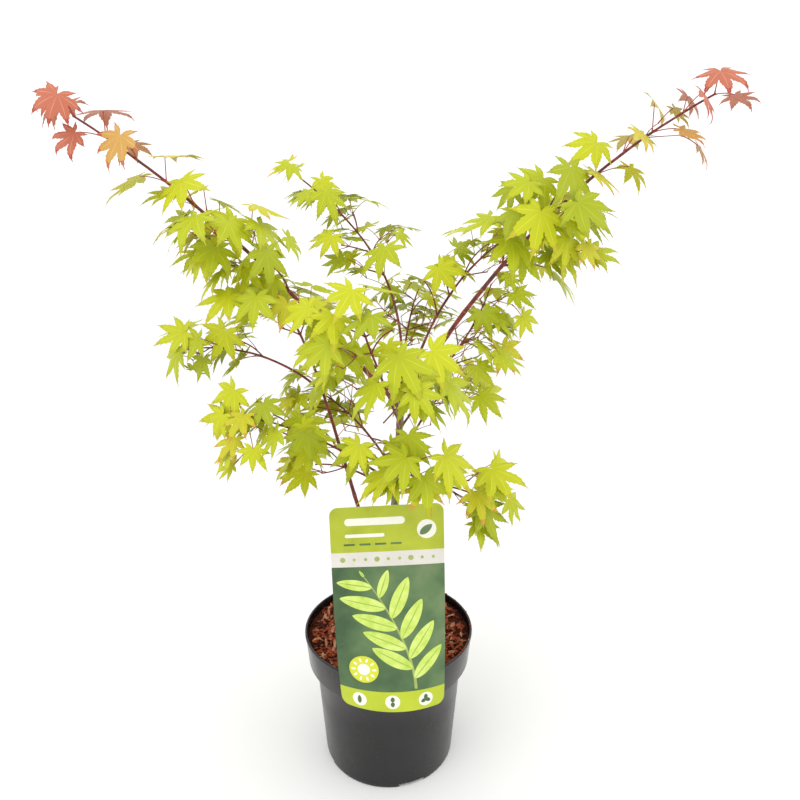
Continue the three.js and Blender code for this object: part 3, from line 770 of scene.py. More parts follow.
class Space:
    """The space that each mass keeps to, and the limbs that foliage keeps clear of."""

    def __init__(self, limbs: dict[str, Limb], lines: dict[str, Line]) -> None:
        """Gathers the steps of every limb and of every mass's stem.

        Args:
            limbs: the limbs by name.
            lines: their middle lines.
        """
        masses = [name for name, limb in limbs.items() if limb.mass]
        self.columns = {name: i for i, name in enumerate(masses)}
        self.masses, self.mass_starts = self.gather(
            [lines[name].segments(limbs[name].bare, 1) for name in masses]
        )
        self.limbs, self.limb_starts = self.gather(
            [line.segments(0, limbs[name].bare) for name, line in lines.items()]
        )
        self.limb_radii = np.array([line.course.base for line in lines.values()])

    @staticmethod
    def gather(groups: list[Array]) -> tuple[Array, Array]:
        """Joins groups of steps into one array, with the place where each group starts."""
        counts = [len(group) for group in groups]
        return np.concatenate(groups), np.cumsum([0, *counts[:-1]])

    @staticmethod
    def distances(points: Array, segments: Array, starts: Array) -> Array:
        """The shortest way from each point to each line.

        Args:
            points: the points.
            segments: every line's steps.
            starts: where each line's steps start.

        Returns:
            A row for each point, with a distance for each line.
        """
        way = segments[:, 1] - segments[:, 0]
        offset = points[:, None] - segments[None, :, 0]
        share = np.clip((offset * way).sum(-1) / (way * way).sum(-1), 0, 1)
        nearest = np.linalg.norm(offset - share[..., None] * way, axis=-1)
        return np.minimum.reduceat(nearest, starts, axis=1)

    def fits(self, points: Array, room: Array, own: str) -> bool:
        """Whether points are in a mass's own space and clear of the limbs.

        Args:
            points: the points.
            room: what each keeps from a limb's bark.
            own: the mass's limb.

        Returns:
            True if all are.
        """
        if np.any(points[:, 2] < ROOM.floor):
            return False
        by_card = (np.abs(points[:, 0]) < ROOM.card_half_width) & (points[:, 1] < ROOM.card_back)
        if np.any(by_card & (points[:, 2] < ROOM.card_top)):
            return False
        to_limbs = self.distances(points, self.limbs, self.limb_starts)
        if np.any(to_limbs < self.limb_radii + room[:, None]):
            return False
        to_masses = self.distances(points, self.masses, self.mass_starts)
        column = self.columns[own]
        nearest = to_masses[:, column].copy()
        to_masses[:, column] = np.inf
        return bool(np.all(to_masses.min(axis=1) >= nearest + 2 * ROOM.between))


@dataclass
class Mass:
    """The twigs and leaves that grow along the rest of one limb's line."""

    limb: Limb
    line: Line
    space: Space
    seed: int
    offers: int = 0
    twigs: list[Line] = field(default_factory=list)
    shoots: list[Line] = field(default_factory=list)
    leaves: list[Leaf] = field(default_factory=list)
    centres: float = ROOM.centres
    reach: tuple[Array, Array] = (np.full(3, -np.inf), np.full(3, np.inf))

    def first_that_fits(
        self, make: Callable[[RandomNumbers], object], fits: Callable[[object], bool]
    ) -> object | None:
        """The first of a few tries that fits.

        Args:
            make: makes one try from random numbers of its own.
            fits: says whether it fits.

        Returns:
            The try, or None.
        """
        self.offers += 1
        for attempt in range(TRIES):
            piece = make(RandomNumbers(self.seed + self.offers * TRIES + attempt))
            if fits(piece):
                return piece
        return None

    def leaf_fits(self, leaf: Leaf) -> bool:
        """Whether a leaf is in the mass's space and clear of its limbs, leaves and stems."""
        gaps = [np.linalg.norm(other.centre - leaf.centre) for other in self.leaves]
        if gaps and min(gaps) < self.centres:
            return False
        rim = leaf.rim()
        if np.any(rim < self.reach[0]) or np.any(rim > self.reach[1]):
            return False
        stalk = np.linspace(leaf.root, leaf.centre, 5)[1:]
        points = np.vstack([rim, (rim + leaf.centre) / 2, stalk])
        room = np.repeat([ROOM.blade, ROOM.stalk], [2 * len(rim), len(stalk)])
        if not self.space.fits(points, room, self.limb.name):
            return False
        if any(leaves_cross(leaf, other) for other in self.leaves):
            return False
        stems = [stem.segments(0, 1) for stem in (self.line, *self.twigs, *self.shoots)]
        return not ways_pass(np.concatenate(stems), leaf.fan)

    def twig_fits(self, twig: Line) -> bool:
        """Whether a twig is in the mass's space and clear of the limbs."""
        points = twig.frames(np.array([0.3, 0.6, 0.8, 1.0])).points
        return self.space.fits(points, np.full(4, ROOM.stalk), self.limb.name)

    def offer_leaf(
        self, stem: Line, share: float, way: Array, size: float, place: float
    ) -> bool:
        """Adds a leaf if one of its tries fits.

        Args:
            stem: what its stalk leaves.
            share: how far along that stem.
            way: the way that the stalk sets off.
            size: a share of the full size.
            place: how far along the mass's line it is.

        Returns:
            Whether one was added.
        """
        root = stem.point(min(share, 1 - END_WOOD / stem.course.length))
        leaf = self.first_that_fits(
            lambda random: make_leaf(root, way, size, random), self.leaf_fits
        )
        if leaf is None:
            return False
        leaf.share = place
        leaf.seed = self.seed + self.offers
        self.leaves.append(leaf)
        return True

    @staticmethod
    def pair_ways(frame: Frames, roll: float, spread: float) -> list[Array]:
        """The two ways in which a pair of leaves or twigs leaves a node.

        Args:
            frame: the stem's frame at the node.
            roll: how far round the stem they turn, in radians.
            spread: their angle from it, in radians.

        Returns:
            Both ways.
        """
        aside = frame.across * cos(roll) + frame.up * (UPWARD_SQUASH * sin(roll))
        ways = [
            frame.forward * cos(spread) + aside * (side * sin(spread))
            for side in (1, -1)
        ]
        return [way / np.linalg.norm(way) for way in ways]

    @staticmethod
    def make_twig(
        node: Array, way: Array, length: float, base: float, tip: float
    ) -> Line:
        """A twig that sets off from a node and levels out.

        Args:
            node: where it starts.
            way: the way that it sets off.
            length: its length.
            base: its radius at its start.
            tip: its radius at its end.

        Returns:
            Its line.
        """
        rise = degrees(asin(way[2]))
        heading = degrees(atan2(way[1], way[0]))
        course = Course(length, heading, 0, rise, rise * TWIG.levelling, 1, base, min(base, tip))
        return Line(node + ROOT_OFFSET * way, course)

    def grow_twig(self, frame: Frames, roll: float, side: int, share: float, size: float) -> bool:
        """Adds a side twig with its leaves if one of its tries fits.

        Args:
            frame: the stem's frame at the node.
            roll: how far round the stem the pair is turned.
            side: which of the pair it is.
            share: how far along the mass's line it is.
            size: its leaves' size.

        Returns:
            Whether one was added.
        """

        def make(random: RandomNumbers) -> Line:
            """One try at the twig."""
            turn = radians(ROLL_JITTER * (random.draw() - 0.5))
            ways = self.pair_ways(frame, roll + turn, radians(TWIG.spread))
            stretch = TWIG.least + TWIG.spread_of_length * random.draw()
            length = self.limb.twig * (TWIG.stretch - share) * stretch
            base = TWIG.base * self.line.radius(share)
            return self.make_twig(frame.points, ways[side], length, base, TWIG.tip)

        twig = self.first_that_fits(make, self.twig_fits)
        if twig is None:
            return False
        self.twigs.append(twig)
        nodes = max(1, floor(twig.course.length / NODE_GAP + 0.5))
        for node in range(1, nodes + 1):
            twig_frame = twig.frame(node / nodes)
            twig_roll = radians(90 * ((node + nodes) % 2))
            for way in self.pair_ways(twig_frame, twig_roll, radians(LEAF.stalk_spread)):
                self.offer_leaf(twig, node / nodes, way, size, share)
        self.offer_leaf(twig, 1, twig.frame(1).forward, size, share)
        return True

    def grow(self) -> None:
        """Grows twigs and leaves: a pair at each node, each a quarter turn round from the last."""
        bare, shrink = self.limb.bare, self.limb.shrink
        chance = RandomNumbers(self.seed)
        nodes = floor(self.line.course.length * (1 - bare) / NODE_GAP + 0.5)
        spread = radians(LEAF.stalk_spread)
        for node in range(1, nodes + 1):
            share = bare + (1 - bare) * node / nodes
            frame = self.line.frame(share)
            roll = node_roll(node, chance)
            size = 1 - shrink * share**3
            ways = self.pair_ways(frame, roll, spread)
            for side in (0, 1):
                wants_twig = chance.draw() < self.limb.twig_chance and share < self.limb.twig_end
                if not wants_twig or not self.grow_twig(frame, roll, side, share, size):
                    self.offer_leaf(self.line, share, ways[side], size, share)
        self.offer_leaf(self.line, 1, self.line.frame(1).forward, 1 - shrink, 1)

    def grow_finer(self) -> None:
        """Carries the rule on: short shoots in the axils, each with smaller leaves at its end."""
        self.centres = FINE.centres
        rims = np.concatenate([leaf.rim() for leaf in self.leaves])
        self.reach = rims.min(axis=0) - FINE.over, rims.max(axis=0) + FINE.over
        chance = RandomNumbers(self.seed + 1)
        wanted = FINE.chance * (1 - FINE.thinning * self.limb.shrink)
        stems = [(twig, 0.0) for twig in self.twigs] + [(self.line, self.limb.bare)]
        for stem, start in stems:
            nodes = max(1, round(stem.course.length * (1 - start) / NODE_GAP))
            for node in range(nodes + 1):
                share = start + (1 - start) * (node + 0.5) / (nodes + 1)
                if stem is self.line and share > FINE.end_room:
                    continue
                for side in (0, 1):
                    if chance.draw() < wanted:
                        self.grow_shoot(stem, share, node_roll(node, chance), side)

    def grow_shoot(self, stem: Line, share: float, roll: float, side: int) -> None:
        """Adds one short shoot with up to three small leaves, if it and one of them fit.

        Args:
            stem: what it grows from.
            share: how far along that stem.
            roll: how far round it.
            side: which side of it.
        """
        frame = stem.frame(share)
        place = share if stem is self.line else self.share_of(stem)
        size = FINE.leaf_size * (1 - self.limb.shrink * place**3)

        def make(random: RandomNumbers) -> Line:
            """One try at the shoot."""
            way = self.pair_ways(frame, roll, radians(FINE.spread))[side]
            length = FINE.length + FINE.length_range * random.draw()
            return self.make_twig(frame.points, way, length, FINE.base, FINE.tip)

        shoot = self.first_that_fits(make, self.twig_fits)
        if shoot is None:
            return
        before = len(self.leaves)
        end = shoot.frame(1)
        pair = self.pair_ways(end, roll, radians(LEAF.stalk_spread))
        for way in (*pair, end.forward):
            self.offer_leaf(shoot, 1, way, size, place)
        if len(self.leaves) > before:
            self.shoots.append(shoot)

    def share_of(self, twig: Line) -> float:
        """How far along the mass's line a twig stands."""
        gaps = np.linalg.norm(self.line.points - twig.points[0], axis=1)
        return float(gaps.argmin()) / LINE_STEPS


class Plant:
    """The limbs of the plant and the masses of foliage that grow on from them."""

    def __init__(self, foot: float) -> None:
        """Lays out the limbs.

        Args:
            foot: the height at which the trunk's line starts.
        """
        self.limbs = {limb.name: limb for limb in LIMBS}
        self.lines: dict[str, Line] = {}
        for limb in LIMBS:
            start = np.array([0.3, 0.0, foot])
            if limb.parent:
                start = self.lines[limb.parent].point(limb.at)
            self.lines[limb.name] = Line(start, limb.course)
        self.masses: dict[str, Mass] = {}

    def grow(self) -> None:
        """Grows every mass, first by the rule itself and then on to finer shoots."""
        space = Space(self.limbs, self.lines)
        seed = SEED
        for name, limb in self.limbs.items():
            if limb.mass:
                mass = Mass(limb, self.lines[name], space, seed)
                mass.grow()
                first = len(mass.leaves)
                mass.grow_finer()
                LOG.info("%s: %d leaves, then %d", limb.mass, first, len(mass.leaves))
                self.masses[limb.mass] = mass
                seed += SEED


# ------------ meshes


def add_object(name: str, data: ID) -> Object:
    """Puts a new object in the scene."""
    made = bpy.data.objects.new(name, data)
    bpy.context.scene.collection.objects.link(made)
    return made


def finish_piece(
    name: str,
    bm: BMesh,
    finishes: Sequence[Material],
    nodes: Sequence[str] = (),
) -> None:
    """Turns a mesh into a piece that rides on the plant's body.

    Args:
        name: its name.
        bm: its mesh, in metres. It is freed.
        finishes: its materials, in order.
        nodes: the solids that it stands for.
    """
    mesh = bpy.data.meshes.new(name)
    bm.to_mesh(mesh)
    bm.free()
    for finish in finishes:
        mesh.materials.append(finish)
    piece = add_object(name, mesh)
    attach(piece, BODY)
    if nodes:
        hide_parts(*nodes)
    LOG.info("%s: %d faces", name, len(mesh.polygons))


class Pattern:
    """A small mesh that is stamped many times into a joined piece, each time in a new shape."""

    def __init__(self, bm: BMesh) -> None:
        """Keeps the mesh, its corners and its faces' roles.

        Args:
            bm: the small mesh. It is freed.
        """
        self.mesh = bpy.data.meshes.new("pattern")
        bm.to_mesh(self.mesh)
        bm.free()
        flat = np.empty(len(self.mesh.vertices) * 3, np.float32)
        self.mesh.vertices.foreach_get("co", flat)
        self.points = flat.reshape(-1, 3).astype(float)
        self.roles = np.empty(len(self.mesh.polygons), np.int32)
        self.mesh.polygons.foreach_get("material_index", self.roles)
        self.middles = np.array([
            self.points[list(face.vertices)].mean(axis=0) for face in self.mesh.polygons
        ])

    def stamp(self, bm: BMesh, points: Array, slots: Array) -> None:
        """Adds one copy to a joined mesh.

        Args:
            bm: the joined mesh.
            points: the copy's corners, in millimetres.
            slots: its faces' material indices.
        """
        self.mesh.vertices.foreach_set("co", (points * MM).astype(np.float32).ravel())
        self.mesh.polygons.foreach_set("material_index", slots.astype(np.int32))
        bm.from_mesh(self.mesh)


def smooth(bm: BMesh, sharp_angle: float = 50.0) -> None:
    """Shades a mesh smoothly, with its sharp edges kept.

    Args:
        bm: the mesh.
        sharp_angle: the angle in degrees from which an edge stays sharp.
    """
    for face in bm.faces:
        face.smooth = True
    limit = radians(sharp_angle)
    for edge in bm.edges:
        edge.smooth = edge.is_manifold and edge.calc_face_angle(0.0) < limit


class TubePattern(Pattern):
    """A closed tube one unit long and one in radius, in even rings, that is laid along a line."""

    def __init__(self, sides: int, steps: int) -> None:
        """Builds the tube.

        Args:
            sides: how many sides it has.
            steps: how many rings of faces it has.
        """
        bm = bmesh.new()
        bmesh.ops.create_cone(
            bm, cap_ends=True, segments=sides, radius1=1, radius2=1, depth=1,
            matrix=Matrix.Translation((0, 0, 0.5)),
        )
        if steps > 1:
            upright = [e for e in bm.edges if abs(e.verts[0].co.z - e.verts[1].co.z) > 0.5]
            bmesh.ops.subdivide_edges(bm, edges=upright, cuts=steps - 1)
        smooth(bm)
        super().__init__(bm)
        self.shares = self.points[:, 2]
        self.rounds = np.arctan2(self.points[:, 1], self.points[:, 0])

    def laid(self, frames: Frames, radii: Array) -> Array:
        """The tube's corners, from each one's frame on a line and its distance from the line."""
        across = (radii * np.cos(self.rounds))[:, None] * frames.across
        return frames.points + across + (radii * np.sin(self.rounds))[:, None] * frames.up


@dataclass(frozen=True)
class Lobe:
    """One lobe of a leaf: its way, its length, its teeth, and the notches on its two sides."""

    angle: float
    length: float
    teeth: int
    right: Pair
    left: Pair


class LeafPattern(Pattern):
    """A maple leaf as one thin closed shell, flat, with its stalk's end at the middle.

    Its X and Y are shares of the leaf's reach, and its Z is in millimetres.
    """

    ANGLES = (-122.0, -78.0, -39.0, 0.0, 39.0, 78.0, 122.0)
    LENGTHS = (0.44, 0.7, 0.92, 1.0, 0.92, 0.7, 0.44)
    TEETH = (3, 5, 6, 6, 6, 5, 3)
    NOTCHES = ((-152.0, 0.08), (-100.0, 0.2), (-58.5, 0.28), (-19.5, 0.31),
               (19.5, 0.31), (58.5, 0.28), (100.0, 0.2), (152.0, 0.08))
    HALF_RIB = 0.008
    WIDEST = 0.15
    SWELL, TAPER = 1.4, 1.9
    TOOTH = 0.024
    TOP = 0.16
    RIB_HEIGHT = 0.1
    BOTTOM = -0.12
    TIP_START = 0.72
    FIRST_ROW = 0.55
    RIB_START, RIB_SHARE = 0.36, 0.55
    RIB_FALL = 0.6
    OUTERMOST = 130.0
    TOOTH_LEAN = 0.4

    def __init__(self) -> None:
        """Builds the shell from one grid over and one under each lobe."""
        bm = bmesh.new()
        for i, angle in enumerate(self.ANGLES):
            right, left = self.NOTCHES[i], self.NOTCHES[i + 1]
            lobe = Lobe(angle, self.LENGTHS[i], self.TEETH[i], right, left)
            self.add_side(bm, lobe, upper=True)
            self.add_side(bm, lobe, upper=False)
        bmesh.ops.remove_doubles(bm, verts=bm.verts, dist=1e-5)
        bmesh.ops.holes_fill(bm, edges=[e for e in bm.edges if e.is_boundary], sides=8)
        for face in bm.faces:
            face.smooth = True
        for edge in bm.edges:
            sides = [face.material_index == LeafRole.UNDER for face in edge.link_faces]
            edge.smooth = all(sides) or not any(sides)
        super().__init__(bm)
        angle = np.arctan2(self.points[:, 1], self.points[:, 0])
        self.radius = np.hypot(self.points[:, 0], self.points[:, 1])
        self.angle = np.degrees(angle)
        off = np.abs(self.angle[:, None] - np.array(self.ANGLES)[None]).min(axis=1)
        self.from_rib = self.radius * np.sin(np.radians(np.minimum(off, 90)))

    def add_side(self, bm: BMesh, lobe: Lobe, upper: bool) -> None:
        """Adds the upper or the lower skin of a lobe: rows of faces from the stalk to the tip.

        Args:
            bm: the leaf's mesh.
            lobe: the lobe.
            upper: whether it is the upper skin, which has a rib.
        """
        rows, columns = 2 + 2 * lobe.teeth, 3 if upper else 2
        made = bmesh.ops.create_grid(bm, x_segments=rows, y_segments=columns, size=1)
        for i, vert in enumerate(made["verts"]):
            vert.co = self.place(lobe, i % (rows + 1), i // (rows + 1), columns)
        order = {vert: i // (rows + 1) for i, vert in enumerate(made["verts"])}
        faces = list({face for vert in made["verts"] for face in vert.link_faces})
        for face in faces:
            at_rib = all(order[vert] in (1, 2) for vert in face.verts)
            reached = face.calc_center_median().xy.length / lobe.length
            face.material_index = self.role(upper, at_rib, reached)
        if not upper:
            bmesh.ops.reverse_faces(bm, faces=faces)

    def role(self, upper: bool, at_rib: bool, reached: float) -> LeafRole:
        """The role of a face: underside, rib, lobe's tip or blade."""
        if not upper:
            return LeafRole.UNDER
        if at_rib:
            return LeafRole.RIB
        return LeafRole.TIP if reached > self.TIP_START else LeafRole.BLADE

    def place(self, lobe: Lobe, row: int, column: int, columns: int) -> Vector:
        """Where a corner of a lobe's grid goes.

        Args:
            lobe: the lobe.
            row: its row, from 0 at the stalk.
            column: its column, from 0 on the lobe's right.
            columns: how many columns of faces the grid has.

        Returns:
            The place, turned to the lobe's way.
        """
        last = 2 + 2 * lobe.teeth
        at_rim = column in (0, columns)
        side = 1 if column > columns / 2 else -1
        notch = lobe.left if side > 0 else lobe.right
        opening = radians(abs(notch[0] - lobe.angle))
        notch_along, notch_aside = notch[1] * cos(opening), notch[1] * sin(opening)
        top = columns == 3
        skin_height = self.TOP if top else self.BOTTOM
        middle_height = self.TOP + self.RIB_HEIGHT if top else self.BOTTOM
        start = min(self.RIB_START, self.RIB_SHARE * lobe.length)
        if row == 0:
            along, aside, height = 0.0, 0.0, skin_height
        elif row <= 2:
            share = self.FIRST_ROW if row == 1 else 1.0
            if at_rim:
                along, aside = notch_along * share, side * notch_aside * share
                height = 0.0 if row == 2 or abs(notch[0]) > self.OUTERMOST else skin_height
            else:
                along = share * start
                aside, height = side * self.HALF_RIB * share, middle_height
        elif row == last:
            along, aside, height = lobe.length, 0.0, 0.0
        else:
            share = (row - 2) / (last - 2)
            if at_rim:
                along, aside = self.edge(lobe, share, row, notch_along, notch_aside)
                aside, height = side * aside, 0.0
            else:
                along = start + (lobe.length - start) * share
                aside = side * self.HALF_RIB * (1 - share)
                height = middle_height * (1 - self.RIB_FALL * share)
        if not top and not at_rim:
            aside = 0.0
        turn = Matrix.Rotation(radians(lobe.angle), 3, "Z")
        return turn @ Vector((along, aside, height))

    def edge(
        self, lobe: Lobe, share: float, row: int, start: float, half: float
    ) -> Pair:
        """A place on a lobe's toothed edge.

        Args:
            lobe: the lobe.
            share: how far from the notch to the tip.
            row: the row. An odd one is a tooth's tip.
            start: how far along the notch is.
            half: how far aside the notch is.

        Returns:
            How far along and aside it is.
        """
        length = lobe.length
        along = start + (length - start) * share
        aside = self.half_width(length, along) + (
            (half - self.half_width(length, start)) * (1 - share) ** 3
        )
        if row % 2:
            aside += self.TOOTH * length * sqrt(1 - share)
            along += self.TOOTH_LEAN * (length - start) / (2 * lobe.teeth)
        return along, aside

    def half_width(self, length: float, along: float) -> float:
        """Half the width of a lobe at a place along it: an oval drawn out to a long point."""
        share, widest = along / length, self.SWELL / (self.SWELL + self.TAPER)
        swell = (share / widest) ** self.SWELL
        return self.WIDEST * length * swell * ((1 - share) / (1 - widest)) ** self.TAPER


class ChipPattern(Pattern):
    """A shred of bark: a bar one unit long, thinner towards its ends, in a few steps.

    Every shred is stamped into one joined mesh, bowed and twisted in its own way.
    """

    STEPS = 3
    THINNING = 0.55
    BOW = 0.12
    TWIST = 0.5

    def __init__(self, seed: int, shares: Pair) -> None:
        """Builds the bar and draws its ends in.

        Args:
            seed: where the random numbers start.
            shares: how many are of the first material, and of the first two.
        """
        bm = bmesh.new()
        bmesh.ops.create_cube(bm, size=1)
        lengthwise = [e for e in bm.edges if abs(e.verts[0].co.x - e.verts[1].co.x) > 0.5]
        bmesh.ops.subdivide_edges(bm, edges=lengthwise, cuts=self.STEPS - 1)
        for vert in bm.verts:
            thin = 1 - self.THINNING * (2 * abs(vert.co.x)) ** 2
            vert.co.y *= thin
            vert.co.z *= thin
        super().__init__(bm)
        self.bm = bmesh.new()
        self.random = RandomNumbers(seed)
        self.shares = shares

    def lay(self, size: Array, turn: Matrix, place: Triple) -> None:
        """Stamps one bowed and twisted shred.

        Args:
            size: its length, width and thickness.
            turn: how it is turned.
            place: where its middle is.
        """
        bow = self.random.between(-self.BOW, self.BOW)
        twist = self.random.between(-self.TWIST, self.TWIST)
        points = self.points * size
        angle = twist * 2 * self.points[:, 0]
        aside = points[:, 1] * np.cos(angle) - points[:, 2] * np.sin(angle)
        above = points[:, 1] * np.sin(angle) + points[:, 2] * np.cos(angle)
        aside = aside + bow * size[0] * (1 - 4 * self.points[:, 0] ** 2)
        points = np.stack([points[:, 0], aside, above], axis=1) @ np.array(turn).T
        slot = int(np.searchsorted(self.shares, self.random.draw(), side="right"))
        self.stamp(self.bm, points + np.array(place), np.full(len(self.roles), slot))


# ------------ trunk and boughs


@dataclass(frozen=True)
class BarkRelief:
    """The relief of a limb's bark, in millimetres unless said otherwise."""

    sides: int = 14
    step: float = 1.6
    joint_swell: float = 0.17  # a share of the radius
    joint_width: float = 3.2
    scar_width: float = 0.8
    scar_depth: float = 0.14
    collar_swell: float = 0.45  # a share of the radius
    collar_length: float = 5.0
    ridges: int = 5
    ridge_height: float = 0.05
    wander: float = 0.35  # in radians
    wander_length: float = 6.0
    finer: float = 0.6  # a share of the ridges' height
    finer_length: float = 11.0
    lump_size: float = 9.0
    lump_height: float = 0.12


@dataclass(frozen=True)
class LimbSkin:
    """Bark round part of a limb's line, with joints, scars and fine ridges.

    The gap runs from joint to joint, and the first says how far along one of them stands.
    """

    relief: BarkRelief
    gap: float
    first: float

    def from_joint(self, distances: Array) -> Array:
        """How far each place along the line is from the nearest joint, with its sign."""
        return ((distances - self.first) / self.gap + 0.5) % 1 * self.gap - self.gap / 2

    def add(
        self,
        bm: BMesh,
        line: Line,
        start: float,
        end: float,
        radius_of: Callable[[Array, Array], Array],
    ) -> None:
        """Adds the bark to a mesh, with joint scars as material 1.

        Args:
            bm: the joined mesh.
            line: the limb's line.
            start: the share of the line where it starts.
            end: the share where it ends.
            radius_of: gives the radius from shares of the line and angles round it.
        """
        relief = self.relief
        length = line.course.length
        steps = max(3, round((end - start) * length / relief.step))
        tube = TubePattern(relief.sides, steps)
        shares = start + (end - start) * tube.shares
        distances = shares * length
        joint = np.exp(-((self.from_joint(distances) / relief.joint_width) ** 2) * 2)
        scar = np.exp(-((self.from_joint(distances) / relief.scar_width) ** 2) * 2)
        collar = np.exp(-((distances / relief.collar_length) ** 2))
        wander = relief.wander * np.sin(distances / relief.wander_length + self.first)
        twist = relief.ridges * tube.rounds + wander
        ridge = np.sin(twist) + relief.finer * np.sin(2 * twist + distances / relief.finer_length)
        lump = np.sin(distances / relief.lump_size + 2 * np.sin(tube.rounds + self.first))
        radii = radius_of(shares, tube.rounds)
        radii = radii * (1 + relief.joint_swell * joint + relief.collar_swell * collar)
        radii = radii + relief.ridge_height * ridge + relief.lump_height * lump
        radii = radii - relief.scar_depth * scar
        middles = (start + (end - start) * tube.middles[:, 2]) * length
        scars = np.abs(self.from_joint(middles)) < relief.scar_width
        tube.stamp(bm, tube.laid(line.frames(shares), radii), scars)
        bpy.data.meshes.remove(tube.mesh)


@dataclass
class Trunk:
    """The trunk: its flare, and the cut stubs of side shoots that the nursery took off."""

    plant: Plant
    crown: float
    flare_width: float = 0.75
    flare_height: float = 16.0
    flare_side: float = 0.22
    flare_ridges: int = 3
    joint_gap: float = 34.0
    first_joint: float = 10.0
    stubs: tuple[Pair, ...] = ((0.2, 200), (0.34, 20), (0.45, 285), (0.52, 130))
    stub_length: float = 8.0
    stub_rise: float = 38.0
    stub_radius: float = 1.25
    stub_swell: float = 0.6
    relief: BarkRelief = BarkRelief(
        sides=28, step=1.5, joint_swell=0.1, joint_width=4.5, scar_width=1.1, collar_swell=0,
        ridges=9, ridge_height=0.09, lump_size=7, lump_height=0.16,
    )

    def radius_of(self, shares: Array, rounds: Array) -> Array:
        """The trunk's radius: its taper, with the flare at its foot in three low ridges."""
        line = self.plant.lines["trunk"]
        height = shares * line.course.length
        flare = self.flare_width * np.exp(-((height / self.flare_height) ** 2) * 4)
        ridge = 1 + self.flare_side * flare * np.cos(self.flare_ridges * rounds)
        return line.radius(shares) * (1 + flare) * ridge

    def build(self) -> None:
        """Builds the bark and the stubs, cut flat where the trunk stands on the compost."""
        line = self.plant.lines["trunk"]
        bm = bmesh.new()
        skin = LimbSkin(self.relief, self.joint_gap, self.first_joint)
        skin.add(bm, line, 0, 1, self.radius_of)
        cut = bmesh.ops.bisect_plane(
            bm, geom=[*bm.verts, *bm.edges, *bm.faces], plane_co=(0, 0, self.crown * MM),
            plane_no=(0, 0, 1), clear_inner=True,
        )
        edges = [part for part in cut["geom_cut"] if isinstance(part, BMEdge)]
        bmesh.ops.contextual_create(bm, geom=edges)
        self.add_stubs(bm, line)
        smooth(bm, 60)
        finishes = [TRUNK_BARK.build(), JOINT_SCAR.build()]
        finish_piece("trunk_bark_relief", bm, finishes, ["trunk"])

    def add_stubs(self, bm: BMesh, line: Line) -> None:
        """Adds the stubs: short pegs with a swollen foot and a flat tan cut.

        Args:
            bm: the trunk's mesh.
            line: the trunk's line.
        """
        tube = TubePattern(9, 4)
        slots = tube.middles[:, 2] > tube.shares.max() - 1e-3
        swollen = 1 + self.stub_swell * np.exp(-((2 * tube.shares) ** 4))
        for share, heading in self.stubs:
            rise = self.stub_rise
            course = Course(self.stub_length, heading, 0, rise, rise, 1, 1, 1)
            frames = Line(line.point(share), course).frames(tube.shares)
            tube.stamp(bm, tube.laid(frames, self.stub_radius * swollen), slots)


SLIM_BASES, SLIM_SHARES = (2.0, 2.9), (0.72, 0.9)  # from rule radii to shares of them
TIP_TAPER = 0.22


def shoot_radius(line: Line, shares: Array) -> Array:
    """The radius of a bough and its stem, slimmer towards its tip and where the whole is slim."""
    slimness = np.interp(line.course.base, SLIM_BASES, SLIM_SHARES)
    return slimness * line.radius(shares) * (1 - TIP_TAPER * shares**3)


def shoot_skin(relief: BarkRelief, limb: Limb, line: Line) -> LimbSkin:
    """The bark of a bough and its stem, with joints where its leaves stand.

    Args:
        relief: the bark's relief.
        limb: the bough.
        line: its line.

    Returns:
        The bark.
    """
    grown = line.course.length * (1 - limb.bare)
    gap = grown / floor(grown / NODE_GAP + 0.5)
    return LimbSkin(relief, gap, line.course.length * limb.bare)


@dataclass
class Boughs:
    """The bare parts of the boughs, each its own piece of red-brown bark."""

    plant: Plant
    finishes: list[Material]
    relief: BarkRelief = BarkRelief()

    def build(self) -> None:
        """Builds one piece for each bough and for the second stem."""
        for name, limb in self.plant.limbs.items():
            if not limb.parent:
                continue
            line = self.plant.lines[name]
            bm = bmesh.new()
            skin = shoot_skin(self.relief, limb, line)
            skin.add(bm, line, 0, limb.bare, lambda shares, _: shoot_radius(line, shares))
            finish_piece(f"{name}_bark", bm, self.finishes, [name])


# ------------ masses of foliage


@dataclass(frozen=True)
class LeafHabit:
    """How blades bend. Angles are in radians over a leaf's whole reach."""

    bend: Pair = (0.15, 0.4)
    bend_jitter: float = 0.15
    curl: Pair = (0.0, 1.1)
    curl_share: Pair = (0.6, 1.4)
    curl_start: float = 0.42
    young_curl: float = 1.6
    fold: Pair = (-0.3, 0.18)
    lobe_jitter: float = 0.12
    turn_jitter: float = 5.0
    jitter_start: float = 0.3
    jitter_room: float = 0.4
    ripple: float = 0.35
    ripples: float = 9.0
    stretch: float = 1.07
    steps: int = 10


@dataclass(frozen=True)
class StemHabit:
    """How slim twigs and leaf stalks are, and how they swell at their ends.

    A mesh is a number of sides, with the length of a step or, for a stalk, how many steps.
    """

    twig_mesh: tuple[int, float] = (7, 3.0)
    shoot_mesh: tuple[int, float] = (5, 5.0)
    stalk_mesh: tuple[int, int] = (5, 6)
    slimness: float = 0.62  # a share of the rule's radius
    swell: float = 0.3
    foot: float = 2.5
    end_swell: float = 0.5
    end: float = 0.06
    stalk_radius: float = 0.5
    stalk_taper: float = 0.1
    stalk_swell: float = 0.3
    stalk_foot: float = 0.07
    stalk_bow: float = 0.12
    stalk_below: float = 0.4
    stalk_overlap: float = 0.02
    red_chance: float = 0.45
    red_from: float = 0.7


